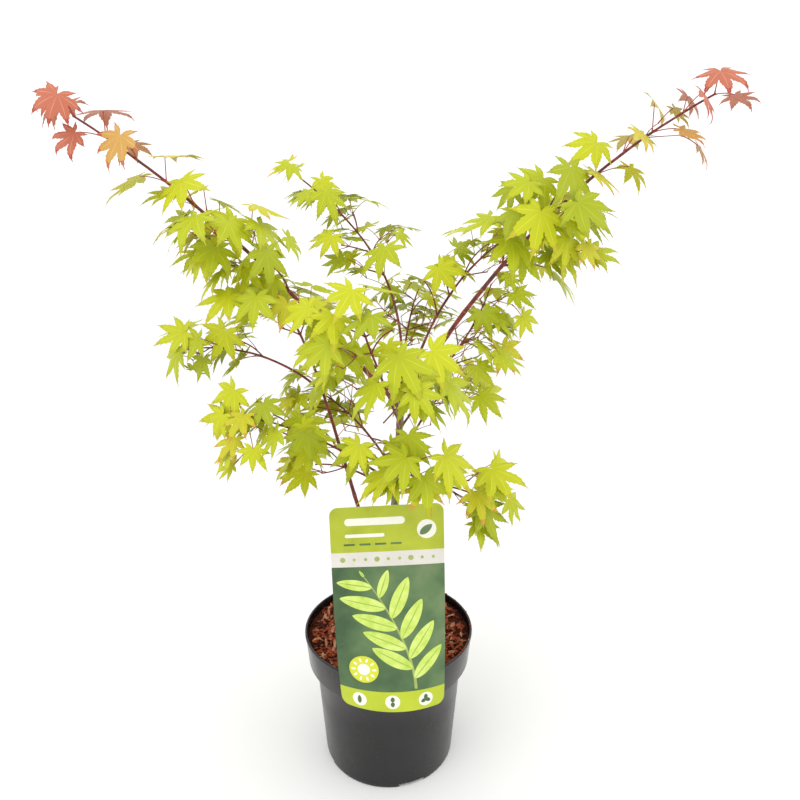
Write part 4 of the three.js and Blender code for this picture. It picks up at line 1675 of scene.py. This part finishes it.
@dataclass
class Foliage:
    """The masses of foliage: their leaves in one piece each, and their twigs in another.

    Young leaves stand towards the whips' ends. Each of their rows has the share of the line where
    it starts, the chance of its first tint, and two tints. A row for grown leaves has the chance
    up to which it holds.
    """

    WHIPS = ("foliage_left_whip", "foliage_right_whip")
    YOUNG_LEAVES = (
        (0.92, 1.0, Tint.SALMON, Tint.SALMON), (0.83, 0.5, Tint.APRICOT, Tint.GOLD),
        (0.77, 0.4, Tint.GOLD, Tint.ORANGE_EDGED),
    )
    GROWN_LEAVES = (
        (0.42, Tint.GOLDEN_LIME), (0.78, Tint.LIME), (0.9, Tint.DEEP_LIME),
        (1.0, Tint.ORANGE_EDGED),
    )

    plant: Plant
    bark: list[Material]
    habit: LeafHabit = LeafHabit()
    stems: StemHabit = StemHabit()
    relief: BarkRelief = BarkRelief(sides=10, step=2.2)
    tints: dict[Tint, list[Material]] = field(default_factory=dict)

    def build(self) -> None:
        """Builds the two pieces of every mass."""
        leaf = LeafPattern()
        stalks = [*self.bark, STALK_RED.build(), STALK_GREEN.build()]
        for name, mass in self.plant.masses.items():
            short = name.removeprefix("foliage_")
            self.build_leaves(f"leaves_{short}", mass, leaf)
            self.build_twigs(f"twigs_{short}", mass, stalks)

    def build_leaves(self, piece: str, mass: Mass, pattern: LeafPattern) -> None:
        """Builds the leaves of a mass as one joined piece.

        Args:
            piece: the piece's name.
            mass: the mass.
            pattern: the flat leaf.
        """
        chosen = [self.tint(mass, leaf) for leaf in mass.leaves]
        used = [tint for tint in Tint if tint in chosen]
        bm = bmesh.new()
        for leaf, tint in zip(mass.leaves, chosen):
            first = used.index(tint) * len(LeafRole)
            curl = self.habit.young_curl if tint in YOUNG else 0.0
            points = self.shaped(pattern, leaf, RandomNumbers(leaf.seed * 3 + 1), curl)
            pattern.stamp(bm, points, pattern.roles + first)
        finishes = [finish for tint in used for finish in self.materials(tint)]
        finish_piece(piece, bm, finishes, [mass.limb.mass])

    def materials(self, tint: Tint) -> list[Material]:
        """The materials of a tint, made the first time that it is asked for."""
        if tint not in self.tints:
            self.tints[tint] = [finish.build() for finish in tint.finishes()]
        return self.tints[tint]

    def tint(self, mass: Mass, leaf: Leaf) -> Tint:
        """Deals out a leaf's colour by where its spray stands.

        Args:
            mass: the mass.
            leaf: the leaf.

        Returns:
            Its colour.
        """
        chance = RandomNumbers(leaf.seed * 7 + 5).draw()
        if mass.limb.mass in self.WHIPS:
            for start, limit, tint, other in self.YOUNG_LEAVES:
                if leaf.share > start:
                    return tint if chance < limit else other
        return next(tint for limit, tint in self.GROWN_LEAVES if chance < limit)

    def shaped(
        self, pattern: LeafPattern, leaf: Leaf, random: RandomNumbers, extra_curl: float
    ) -> Array:
        """Bends the flat leaf as it hangs.

        Args:
            pattern: the flat leaf.
            leaf: where it hangs.
            random: its random numbers.
            extra_curl: how much more than most its lobes' ends curl down.

        Returns:
            Its corners, in millimetres.
        """
        habit, lobes = self.habit, np.array(pattern.ANGLES)
        bend, curl = random.between(*habit.bend), random.between(*habit.curl) + extra_curl
        fold, ripple = random.between(*habit.fold), random.between(-1, 1) * habit.ripple
        bends = bend + np.array([random.between(-1, 1) for _ in lobes]) * habit.bend_jitter
        curls = curl * np.array([random.between(*habit.curl_share) for _ in lobes])
        sizes = np.array([random.between(-1, 1) for _ in lobes]) * habit.lobe_jitter
        turns = np.array([random.between(-1, 1) for _ in lobes]) * habit.turn_jitter
        outer = np.clip((pattern.radius - habit.jitter_start) / habit.jitter_room, 0, 1)
        radius = pattern.radius * habit.stretch
        radius = radius * (1 + outer * np.interp(pattern.angle, lobes, sizes))
        angle = np.radians(pattern.angle + outer * np.interp(pattern.angle, lobes, turns))
        bend_here = np.interp(pattern.angle, lobes, bends)
        curl_here = np.interp(pattern.angle, lobes, curls)
        middles = (np.arange(habit.steps) + 0.5) / habit.steps
        along = radius[:, None] * middles
        tilt = bend_here[:, None] * along
        tilt = tilt + curl_here[:, None] * np.maximum(0, along - habit.curl_start) ** 2
        level = (np.cos(tilt).mean(axis=1) * radius)[:, None] * leaf.reach
        drop = (np.sin(tilt).mean(axis=1) * radius)[:, None] * leaf.reach
        last = tilt[:, -1:]
        outward = np.cos(angle)[:, None] * leaf.along + np.sin(angle)[:, None] * leaf.aside
        normal = leaf.normal * np.cos(last) + outward * np.sin(last)
        lift = pattern.points[:, 2] + leaf.reach * pattern.from_rib * (
            fold + ripple * np.sin(habit.ripples * pattern.radius + leaf.seed)
        )
        return leaf.centre + outward * level - leaf.normal * drop + normal * lift[:, None]

    def build_twigs(self, piece: str, mass: Mass, finishes: list[Material]) -> None:
        """Builds the stem, the twigs, the shoots and the leaf stalks of a mass as one piece.

        Args:
            piece: the piece's name.
            mass: the mass.
            finishes: bark, scars, red stalks and green stalks.
        """
        bm = bmesh.new()
        line, limb = mass.line, mass.limb
        skin = shoot_skin(self.relief, limb, line)
        skin.add(bm, line, limb.bare, 1, lambda shares, _: shoot_radius(line, shares))
        for twig in mass.twigs:
            self.add_twig(bm, twig, *self.stems.twig_mesh)
        for shoot in mass.shoots:
            self.add_twig(bm, shoot, *self.stems.shoot_mesh)
        stalk = TubePattern(*self.stems.stalk_mesh)
        red = len(self.bark)
        for leaf in mass.leaves:
            young = limb.mass in self.WHIPS and leaf.share > self.stems.red_from
            flushed = young or RandomNumbers(leaf.seed * 5 + 2).draw() < self.stems.red_chance
            self.add_stalk(bm, stalk, leaf, red if flushed else red + 1)
        finish_piece(piece, bm, finishes, [limb.mass])

    def add_twig(self, bm: BMesh, twig: Line, sides: int, step: float) -> None:
        """Adds one twig, a little swollen at its foot and its end.

        Args:
            bm: the joined mesh.
            twig: the twig.
            sides: how many sides it has.
            step: how long its steps are.
        """
        habit = self.stems
        tube = TubePattern(sides, max(2, round(twig.course.length / step)))
        foot = np.exp(-((tube.shares * twig.course.length / habit.foot) ** 2))
        end = np.exp(-(((1 - tube.shares) / habit.end) ** 2))
        swell = 1 + habit.swell * (foot + habit.end_swell * end)
        radii = habit.slimness * twig.radius(tube.shares) * swell
        tube.stamp(bm, tube.laid(twig.frames(tube.shares), radii), np.zeros(len(tube.roles)))
        bpy.data.meshes.remove(tube.mesh)

    def add_stalk(self, bm: BMesh, tube: TubePattern, leaf: Leaf, slot: int) -> None:
        """Adds one leaf stalk, bowed a little upward between the stem and the blade.

        Args:
            bm: the joined mesh.
            tube: the tube that is bent into it.
            leaf: the leaf.
            slot: its material index.
        """
        habit = self.stems
        into = habit.stalk_overlap * leaf.reach * leaf.along
        start, end = leaf.root, leaf.centre - habit.stalk_below * leaf.normal - into
        length = np.linalg.norm(end - start)
        bow = (start + end) / 2 + habit.stalk_bow * length * UPRIGHT
        share = tube.shares[:, None]
        points = start * (1 - share) ** 2 + bow * 2 * share * (1 - share) + end * share**2
        forward = (bow - start) * (1 - share) + (end - bow) * share
        forward = forward / np.linalg.norm(forward, axis=1, keepdims=True)
        across = np.cross(UPRIGHT, forward)
        across = across / np.maximum(np.linalg.norm(across, axis=1, keepdims=True), 1e-6)
        frames = Frames(points, forward, across, np.cross(forward, across))
        foot = habit.stalk_swell * np.exp(-((tube.shares / habit.stalk_foot) ** 2))
        radii = habit.stalk_radius - habit.stalk_taper * tube.shares + foot
        tube.stamp(bm, tube.laid(frames, radii), np.full(len(tube.roles), slot))


# ------------ pot and compost


@dataclass
class Pot:
    """The nursery pot: a tapering body, a deep collar, and drain holes and notches below."""

    height: float = 155.0
    rim_radius: float = 95.0
    collar_height: float = 35.0
    collar_foot_radius: float = 91.4
    body_top_radius: float = 83.3
    foot_radius: float = 74.4
    wall: float = 1.6
    floor: float = 3.0
    lip: float = 1.4
    turns: int = 128
    holes: int = 6
    hole_radius: float = 4.5
    hole_ring: float = 42.0
    notches: int = 4
    notch_size: Triple = (16.0, 30.0, 8.0)
    first_notch: float = -69.0
    rings: tuple[float, ...] = (5.0, 6.5, 10.0, 40.0, 80.0)

    def profile(self) -> list[Pair]:
        """The wall's section, from the axis under the floor to the axis over it."""
        collar = self.height - self.collar_height
        inner = self.wall + self.lip / 2
        rim, top = self.rim_radius, self.height
        widening = (self.body_top_radius - self.foot_radius) / (collar - 2.7)
        rings = [(self.foot_radius + widening * (up - 1.5), up) for up in self.rings]
        return [
            (0, 0), (self.foot_radius - 1.5, 0), (self.foot_radius - 0.4, 0.5),
            (self.foot_radius, 1.5), *rings, (self.body_top_radius, collar - 1.2),
            (self.body_top_radius + 0.6, collar - 0.3), (self.collar_foot_radius - 0.8, collar),
            (self.collar_foot_radius - 0.2, collar + 0.2), (self.collar_foot_radius, collar + 0.8),
            (rim - self.lip / 2, top - 3), (rim - 0.15, top - 2.8), (rim, top - 2.4),
            (rim, top - 0.7), (rim - 0.2, top - 0.2), (rim - 0.7, top),
            (rim - inner + 0.6, top), (rim - inner + 0.1, top - 0.2), (rim - inner, top - 0.6),
            (self.collar_foot_radius - self.wall, collar + self.wall),
            (self.body_top_radius - self.wall, collar), (self.foot_radius - self.wall, self.floor),
            (0, self.floor),
        ]

    def build(self) -> None:
        """Spins the wall and cuts the holes and notches."""
        bm = spun(self.profile(), self.turns)
        cutters = bmesh.new()
        for i in range(self.holes):
            angle = 2 * pi * i / self.holes
            place = Vector((cos(angle), sin(angle), 0)) * self.hole_ring * MM
            bmesh.ops.create_cone(
                cutters, cap_ends=True, segments=24, radius1=self.hole_radius * MM,
                radius2=self.hole_radius * MM, depth=4 * self.floor * MM,
                matrix=Matrix.Translation(place),
            )
        for i in range(self.notches):
            turn = Matrix.Rotation(radians(self.first_notch + 360 * i / self.notches), 4, "Z")
            out = Matrix.Translation((self.foot_radius * MM, 0, 0))
            size = Matrix.Diagonal((*(side * MM for side in self.notch_size), 1))
            bmesh.ops.create_cube(cutters, size=1, matrix=turn @ out @ size)
        bm = cut_away(bm, cutters)
        smooth(bm, 35)
        finish_piece("pot_shell", bm, [POT_SKIN.build()], ["pot"])


def spun(profile: Sequence[Pair], turns: int) -> BMesh:
    """Spins a section round the upright axis.

    Args:
        profile: radii and heights in millimetres, from the axis to the axis.
        turns: how many steps make the full turn.

    Returns:
        A closed mesh whose faces point outwards.
    """
    bm = bmesh.new()
    verts = [bm.verts.new((radius * MM, 0, height * MM)) for radius, height in profile]
    edges = [bm.edges.new(pair) for pair in zip(verts, verts[1:])]
    bmesh.ops.spin(
        bm, geom=[*verts, *edges], cent=(0, 0, 0), axis=(0, 0, 1), angle=2 * pi,
        steps=turns, use_merge=True, use_duplicate=False,
    )
    bmesh.ops.remove_doubles(bm, verts=bm.verts, dist=1e-6)
    bmesh.ops.recalc_face_normals(bm, faces=bm.faces)
    return bm


def cut_away(bm: BMesh, cutters: BMesh) -> BMesh:
    """Cuts one mesh out of another.

    Args:
        bm: the mesh. It is freed.
        cutters: what is cut out of it. It is freed.

    Returns:
        What is left.
    """
    objects = []
    for source in (bm, cutters):
        mesh = bpy.data.meshes.new("cut")
        source.to_mesh(mesh)
        source.free()
        objects.append(add_object("cut", mesh))
    modifier = objects[0].modifiers.new("cut", "BOOLEAN")
    modifier.operation = "DIFFERENCE"
    modifier.solver = "EXACT"
    modifier.object = objects[1]
    evaluated = objects[0].evaluated_get(bpy.context.evaluated_depsgraph_get())
    left = bmesh.new()
    left.from_mesh(evaluated.to_mesh())
    for made in objects:
        bpy.data.objects.remove(made)
    return left


@dataclass
class Compost:
    """The compost in the pot: a low mound of fines, with shredded bark on it."""

    pot: Pot
    crown: float = 150.0
    edge: float = 146.5
    flat_radius: float = 26.0
    fall: float = 1.6
    turns: int = 120
    steps: int = 30
    gap: float = 0.3
    roughness: float = 1.3
    lump: float = 7.0
    fractal: tuple[float, float, int] = (0.8, 2.1, 3)
    calm: float = 8.0
    chips: int = 1500
    chip_length: Pair = (4.0, 15.0)
    chip_width: Pair = (1.4, 4.4)
    chip_height: Pair = (0.6, 1.5)
    chip_tilt: float = 24.0
    chip_roll: float = 0.6
    chip_lift: float = 0.8
    shares: Pair = (0.6, 0.78)
    trunk_room: float = 9.0
    crumbs: int = 26
    crumb_length: Pair = (1.6, 3.6)
    crumb_width: Pair = (0.9, 1.6)
    crumb_headings: Pair = (-40.0, 130.0)
    crumb_slew: float = 0.3
    seed: int = 421

    def profile(self) -> list[Pair]:
        """The compost's section, in fine steps over its top."""
        pot = self.pot
        collar = pot.height - pot.collar_height
        inset = pot.wall + self.gap + 0.1
        sides = [
            (0, pot.floor + self.gap), (pot.foot_radius - inset, pot.floor + self.gap),
            (pot.body_top_radius - inset, collar + self.gap),
            (pot.collar_foot_radius - inset, collar + pot.wall + 2 * self.gap),
        ]
        radii = [self.top_radius * (1 - i / self.steps) for i in range(self.steps + 1)]
        return sides + [(radius, self.height(radius)) for radius in radii]

    @property
    def top_radius(self) -> float:
        """The radius of the compost's top."""
        return self.pot.rim_radius - self.pot.wall - self.pot.lip / 2 - self.gap - 0.9

    def height(self, radius: float) -> float:
        """The height of the mound at a radius."""
        share = (radius - self.flat_radius) / (self.top_radius - self.flat_radius)
        return self.crown + (self.edge - self.crown) * min(1.0, max(0.0, share)) ** self.fall

    def build(self) -> None:
        """Builds the mound with a rough top, and the shredded bark on it."""
        bm = spun(self.profile(), self.turns)
        for vert in bm.verts:
            radius = vert.co.xy.length / MM
            if vert.co.z > (self.edge - 1) * MM and radius < self.top_radius - 1:
                vert.co.z += self.rise(vert.co) * MM
        smooth(bm, 60)
        finish_piece("compost_mound", bm, [COMPOST_DARK.build()], ["soil"])
        chip = ChipPattern(self.seed, self.shares)
        for _ in range(self.chips):
            self.add_chip(chip)
        for _ in range(self.crumbs):
            self.add_crumb(chip)
        finishes = [CHIP_RED.build(), CHIP_PALE.build(), CHIP_DARK.build()]
        finish_piece("compost_bark_shreds", chip.bm, finishes)

    def rise(self, place: Vector) -> float:
        """How far the fines stand over the mound's even shape, in millimetres."""
        share = min(1.0, max(0.0, (place.xy.length / MM - self.trunk_room) / self.calm))
        return share * self.roughness * noise.fractal(place / (self.lump * MM), *self.fractal)

    def add_chip(self, chip: ChipPattern) -> None:
        """Lays one shred of bark on the mound.

        Args:
            chip: the shred that is stamped.
        """
        random = chip.random
        sizes = self.chip_length, self.chip_width, self.chip_height
        size = np.array([random.between(*limits) for limits in sizes])
        reach = self.top_radius - self.gap - size[0] / 2
        radius = sqrt(random.between((self.trunk_room / reach) ** 2, 1)) * reach
        around = random.between(0, 2 * pi)
        x, y = radius * cos(around), radius * sin(around)
        height = self.height(radius) + self.rise(Vector((x, y, self.crown)) * MM)
        tilt = radians(random.between(-self.chip_tilt, self.chip_tilt))
        lift = size[2] * 0.4 + 0.32 * abs(sin(tilt)) * size[0]
        lift += random.between(0, self.chip_lift)
        turn = Matrix.Rotation(random.between(0, 2 * pi), 3, "Z")
        turn = turn @ Matrix.Rotation(tilt, 3, "Y")
        turn = turn @ Matrix.Rotation(random.between(-self.chip_roll, self.chip_roll), 3, "X")
        chip.lay(size, turn, (x, y, height + lift))

    def add_crumb(self, chip: ChipPattern) -> None:
        """Leaves one crumb lying on the rim, on its right and back.

        Args:
            chip: the shred that is stamped.
        """
        random = chip.random
        thick = self.crumb_width[0]
        size = np.array([
            random.between(*self.crumb_length), random.between(*self.crumb_width), thick
        ])
        around = radians(random.between(*self.crumb_headings))
        radius = self.pot.rim_radius - self.pot.wall / 2 - 0.4
        slew = random.between(-self.crumb_slew, self.crumb_slew)
        turn = Matrix.Rotation(around + pi / 2 + slew, 3, "Z")
        place = (radius * cos(around), radius * sin(around), self.pot.height + 0.4)
        chip.lay(size, turn, place)


# ------------ plant label


@dataclass
class PlantLabel:
    """The printed card on the pot's front, held on the rim by a flat hook.

    The print is drawn flat, across and up the card, and then bent with it.
    """

    width: float = 110.0
    height: float = 218.0
    thickness: float = 0.8
    corner: float = 8.0
    foot: float = 121.0
    stand_off: float = 1.2
    lean: float = 5.0
    tilt: float = -1.5
    twist: float = 7.0
    shift: float = 6.0
    rim_radius: float = 95.0
    rim_height: float = 155.0
    cell: float = 5.5
    ink: float = 0.1
    bands: Triple = (22.0, 157.0, 172.0)
    hook_width: float = 24.0
    hook_thickness: float = 0.9
    hook_inside: float = 6.0
    hook_drop: float = 5.0
    stalk_course: tuple[float, float, float, float] = (24.0, 24.0, -24.0, 146.0)
    stalk_lean: float = 1.7
    leaves: int = 11
    leaf_length: float = 46.0
    leaf_width: float = 0.32
    leaf_spread: float = 48.0
    leaf_drawing: Pair = (1.15, 1.5)
    rib_width: float = 1.1
    rib_share: float = 0.92
    margin: float = 4.0
    bm: BMesh = field(default_factory=bmesh.new)

    def bent(self, flat: Vector) -> Vector:
        """Where a place on the flat card goes.

        Args:
            flat: how far across, behind and up it is, in millimetres.

        Returns:
            The place, in metres.
        """
        across, up, outward = flat.x, flat.z, -flat.y
        share = up / self.height
        distance = self.rim_radius + self.stand_off + self.thickness
        bend = (1 - share) ** 2 / distance
        angle = across * bend
        level, back = across, 0.0
        if bend > 1e-6:
            level, back = sin(angle) / bend, (1 - cos(angle)) / bend
        turn, lean = radians(self.twist * share), radians(self.lean)
        x = level + outward * sin(angle)
        y = back - outward * cos(angle)
        over_rim = up - (self.rim_height - self.foot)
        return MM * Vector((
            self.shift + up * tan(radians(self.tilt))
            + x * cos(turn) - y * sin(turn),
            over_rim * tan(lean) - distance + x * sin(turn) + y * cos(turn),
            self.foot + up * cos(lean),
        ))

    def build(self) -> None:
        """Builds the card, its print and its hook as one piece."""
        self.add_card()
        self.add_print()
        self.cut_grid()
        front = self.ink / 10 - self.thickness / 2
        for face in self.bm.faces:
            at_front = max(vert.co.y for vert in face.verts) < front
            if face.material_index == Ink.STOCK and at_front:
                face.material_index = self.band(face.calc_center_median().z)
        for vert in self.bm.verts:
            vert.co = self.bent(vert.co)
        self.add_hook()
        smooth(self.bm, 30)
        finishes = [INKS[ink].build() for ink in Ink]
        finish_piece("label_printed_card", self.bm, finishes, ["label_card"])

    def band(self, up: float) -> Ink:
        """The ground colour at a height up the card."""
        foot, field_top, strip_top = self.bands
        if up < foot:
            return Ink.FOOT
        if up < field_top:
            return Ink.FIELD
        return Ink.STRIP if up < strip_top else Ink.HEAD

    def add_card(self) -> None:
        """Adds the flat card, with its corners rounded."""
        made = bmesh.ops.create_cube(self.bm, size=1)
        for vert in made["verts"]:
            vert.co = Vector((
                vert.co.x * self.width, vert.co.y * self.thickness, (vert.co.z + 0.5) * self.height
            ))
        corners = [e for e in self.bm.edges if abs(e.verts[0].co.y - e.verts[1].co.y) > 0.5]
        bmesh.ops.bevel(
            self.bm, geom=corners, offset=self.corner, affect="EDGES", segments=8, profile=0.5,
            material=-1,
        )

    def cut_grid(self) -> None:
        """Cuts the card and its print into cells, so that both bend alike."""
        columns, rows = round(self.width / self.cell), round(self.height / self.cell)
        cuts = [((self.width * (i / columns - 0.5), 0, 0), (1, 0, 0)) for i in range(1, columns)]
        cuts += [((0, 0, self.height * i / rows), (0, 0, 1)) for i in range(1, rows)]
        cuts += [((0, 0, up), (0, 0, 1)) for up in self.bands]
        for place, way in cuts:
            parts = [*self.bm.verts, *self.bm.edges, *self.bm.faces]
            bmesh.ops.bisect_plane(self.bm, geom=parts, plane_co=place, plane_no=way, dist=1e-4)

    def patch(
        self, ink: Ink, corners: int, shape: Callable[[float, float], Pair],
        layer: int = 1,
    ) -> None:
        """Prints one patch of ink, a little raised off the card.

        Args:
            ink: the ink.
            corners: how many corners its outline has.
            shape: says where a corner of a circle of radius 1 goes, across and up.
            layer: how many layers of ink it stands up.
        """
        made = bmesh.ops.create_circle(self.bm, cap_ends=True, segments=corners, radius=1)
        face = made["verts"][0].link_faces[0]
        front = -self.thickness / 2
        for vert in made["verts"]:
            across, up = shape(vert.co.x, vert.co.y)
            vert.co = Vector((across, front, up))
        face.normal_update()
        if face.normal.y > 0:
            face.normal_flip()
        grown = bmesh.ops.extrude_face_region(self.bm, geom=[face], use_keep_orig=True)
        tops = [part for part in grown["geom"] if isinstance(part, BMFace)]
        for vert in {vert for top in tops for vert in top.verts}:
            vert.co.y = front - layer * self.ink
        face.normal_flip()
        sides = {f for vert in made["verts"] for f in vert.link_faces}
        for part in {face, *tops, *sides}:
            part.material_index = ink

    def bar(self, ink: Ink, place: Pair, size: Pair) -> None:
        """Prints a bar with round ends.

        Args:
            ink: the ink.
            place: its middle, across and up.
            size: its length and its height.
        """
        half, straight = size[1] / 2, (size[0] - size[1]) / 2
        self.patch(
            ink, 24,
            lambda x, y: (place[0] + half * x + copysign(straight, x), place[1] + half * y),
        )

    def disc(self, ink: Ink, place: Pair, radius: float, layer: int = 1) -> None:
        """Prints a disc."""
        self.patch(ink, 32, lambda x, y: (place[0] + radius * x, place[1] + radius * y), layer)

    def leaf(
        self, ink: Ink, root: Pair, way: float, size: Pair,
        layer: int = 2,
    ) -> None:
        """Prints a pointed oval leaf.

        Args:
            ink: the ink.
            root: where its stalk is, across and up.
            way: the way to its tip, in degrees from across towards up.
            size: its length and its half width.
            layer: how many layers of ink it stands up.
        """
        length, half = size
        forward = radians(way)

        def shape(x: float, y: float) -> Pair:
            """A corner of the leaf: widest below its middle, and drawn out to its tip."""
            along = length * (0.5 + 0.5 * x) ** self.leaf_drawing[0]
            aside = half * copysign(abs(y) ** self.leaf_drawing[1], y)
            return (
                root[0] + along * cos(forward) - aside * sin(forward),
                root[1] + along * sin(forward) + aside * cos(forward),
            )

        self.patch(ink, 36, shape, layer)

    def add_print(self) -> None:
        """Prints the whole design: the head, the strip, the spray of leaves, and the foot.

        Its numbers are places across and up the card and sizes, all in millimetres.
        """
        half = self.width / 2
        self.bar(Ink.PALE, (-12, 203), (58, 7.5))
        self.bar(Ink.PALE, (-22, 189), (38, 3.6))
        for i in range(4):
            self.bar(Ink.FIELD, (-37 + 15 * i, 180), (11, 2))
        self.disc(Ink.PALE, (half - 17, 193), 9.5)
        self.leaf(Ink.FIELD, (half - 23.5, 188), 38, (15, 3.6))
        for i in range(9):
            self.disc(Ink.STALK, (-44 + 11 * i, 164.5), 1.5 if i % 3 else 2.6)
        self.add_spray()
        self.add_sun((27 - half, 46), 15)
        self.add_foot(11, 34)

    def add_foot(self, up: float, gap: float) -> None:
        """Prints three discs in the foot, with one, two and three small leaves in them.

        Args:
            up: how far up the card they are.
            gap: how far apart they are.
        """
        for count in (1, 2, 3):
            across = gap * (count - 2)
            self.disc(Ink.PALE, (across, up), 7.5)
            drop, length = (4.6, 9.2) if count == 1 else (0, 5.6)
            for turn in range(count):
                way = 90 + 360 * turn / count
                self.leaf(Ink.FIELD, (across, up - drop), way, (length, 2.1))

    def add_sun(self, place: Pair, radius: float, rays: int = 10) -> None:
        """Prints a round badge with a ring of short rays.

        Args:
            place: its middle, across and up.
            radius: its radius.
            rays: how many rays it has.
        """
        self.disc(Ink.BADGE, place, radius)
        self.disc(Ink.PALE, place, 0.42 * radius, 2)
        ring, size = 0.55 * radius, (0.33 * radius, 0.08 * radius)
        for i in range(rays):
            way = 2 * pi * i / rays
            root = (place[0] + ring * cos(way), place[1] + ring * sin(way))
            self.leaf(Ink.PALE, root, degrees(way), size)

    def stalk(self, share: float) -> Pair:
        """A place along the printed stalk, which leans over to the card's left as it climbs."""
        start, low, end, high = self.stalk_course
        return start + (end - start) * share**self.stalk_lean, low + (high - low) * share

    def room(self, root: Pair, way: float) -> float:
        """How long a printed leaf may be before it leaves the picture field.

        Args:
            root: where its stalk is, across and up.
            way: the way to its tip, in radians.

        Returns:
            Its length.
        """
        across, up = cos(way), sin(way)
        side = copysign(self.width / 2 - self.margin, across)
        return min(
            self.leaf_length, (side - root[0]) / across,
            (self.bands[1] - self.margin - root[1]) / max(up, 0.1),
        )

    def add_spray(self) -> None:
        """Prints a curved stalk with oval leaves to its left and right, each with a thin rib."""

        def ribbon(x: float, y: float) -> Pair:
            """A corner of the stalk's outline, thinner towards its end."""
            share = 0.5 + 0.5 * x
            across, up = self.stalk(share)
            return across + copysign(1.5 - share, y), up

        self.patch(Ink.STALK, 48, ribbon)
        for i in range(self.leaves):
            share = 0.1 + 0.9 * i / (self.leaves - 1)
            root, ahead = self.stalk(share), self.stalk(share + 0.01)
            way = atan2(ahead[1] - root[1], ahead[0] - root[0])
            if i < self.leaves - 1:
                way += radians(self.leaf_spread) * (1 if i % 2 else -1)
            length = self.room(root, way)
            heading, rib = degrees(way), self.rib_share * length
            self.leaf(Ink.LEAF, root, heading, (length, length * self.leaf_width / 2))
            self.leaf(Ink.RIB, root, heading, (rib, self.rib_width / 2), 3)

    def add_hook(self) -> None:
        """Adds the hook: a flat strip from the card's back over the rim and down inside."""
        front = -(self.rim_radius + self.stand_off + self.ink)
        foot, back = self.rim_height + 0.8, self.hook_inside - self.rim_radius
        thick, drop = self.hook_thickness, self.rim_height - self.hook_drop
        section = [
            (front, foot), (back - thick, foot), (back - thick, drop), (back, drop),
            (back, foot + thick), (front, foot + thick),
        ]
        left = self.shift - self.hook_width / 2
        verts = [self.bm.verts.new(Vector((left, y, z)) * MM) for y, z in section]
        face = self.bm.faces.new(verts)
        face.normal_update()
        if face.normal.x > 0:
            face.normal_flip()
        grown = bmesh.ops.extrude_face_region(self.bm, geom=[face], use_keep_orig=True)
        ends = [part for part in grown["geom"] if isinstance(part, BMVert)]
        bmesh.ops.translate(self.bm, verts=ends, vec=(self.hook_width * MM, 0, 0))
        made = {f for vert in [*verts, *ends] for f in vert.link_faces}
        bmesh.ops.recalc_face_normals(self.bm, faces=list(made))


# ------------ studio


@dataclass
class Studio:
    """A white studio: a pale floor, an even white surround, and two soft lamps."""

    floor: float = 6.0
    lens: float = 28.935
    place: Triple = (0.013, -0.648, 0.592)
    down: float = 14.8
    surround: float = 1.15
    aim: Triple = (0, 0, 0.35)
    key_power: float = 9.0
    fill_power: float = 5.0

    def build(self) -> None:
        """Builds the floor, the world, the lamps and the camera."""
        bm = bmesh.new()
        bmesh.ops.create_grid(
            bm, x_segments=2, y_segments=2, size=self.floor,
            matrix=Matrix.Translation((0, 0, -0.2 * MM)),
        )
        mesh = bpy.data.meshes.new("studio_floor")
        bm.to_mesh(mesh)
        bm.free()
        mesh.materials.append(FLOOR_PAPER.build())
        add_object("studio_floor", mesh)
        world = bpy.data.worlds.new("white_surround")
        world.use_nodes = True
        ground = world.node_tree.nodes["Background"]
        ground.inputs["Color"].default_value = (1, 1, 1, 1)
        ground.inputs["Strength"].default_value = self.surround
        bpy.context.scene.world = world
        self.lamp("key_softbox", (-0.9, -1.1, 1.9), 1.1, self.key_power)
        self.lamp("fill_softbox", (1.5, -0.6, 1.2), 1.4, self.fill_power)
        camera = add_object("camera", bpy.data.cameras.new("camera"))
        camera.data.lens = self.lens
        camera.location = self.place
        camera.rotation_euler = (radians(90 - self.down), 0, 0)
        bpy.context.scene.camera = camera
        bpy.context.scene.view_settings.view_transform = "Standard"

    def lamp(
        self, name: str, place: Triple, size: float, power: float
    ) -> None:
        """Adds a square soft lamp that faces the middle of the plant.

        Args:
            name: its name.
            place: where it is, in metres.
            size: its side.
            power: its power in watts.
        """
        light = bpy.data.lights.new(name, "AREA")
        light.size = size
        light.energy = power
        lamp = add_object(name, light)
        lamp.location = place
        back = Vector(place) - Vector(self.aim)
        lamp.rotation_euler = back.to_track_quat("Z", "Y").to_euler()


# ------------ the whole


def main() -> None:
    """Builds the plant's pieces in order, then the studio."""
    logging.basicConfig(level=logging.INFO, format="%(levelname)s %(message)s")
    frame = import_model()
    plant = Plant(TRUNK_FOOT)
    plant.grow()
    bark = [SHOOT_BARK.build(), JOINT_SCAR.build()]
    pot = Pot()
    pot.build()
    compost = Compost(pot)
    compost.build()
    PlantLabel().build()
    Trunk(plant, compost.crown + TRUNK_GAP).build()
    Boughs(plant, bark).build()
    Foliage(plant, bark).build()
    Studio().build()


if __name__ == "__main__":
    main()
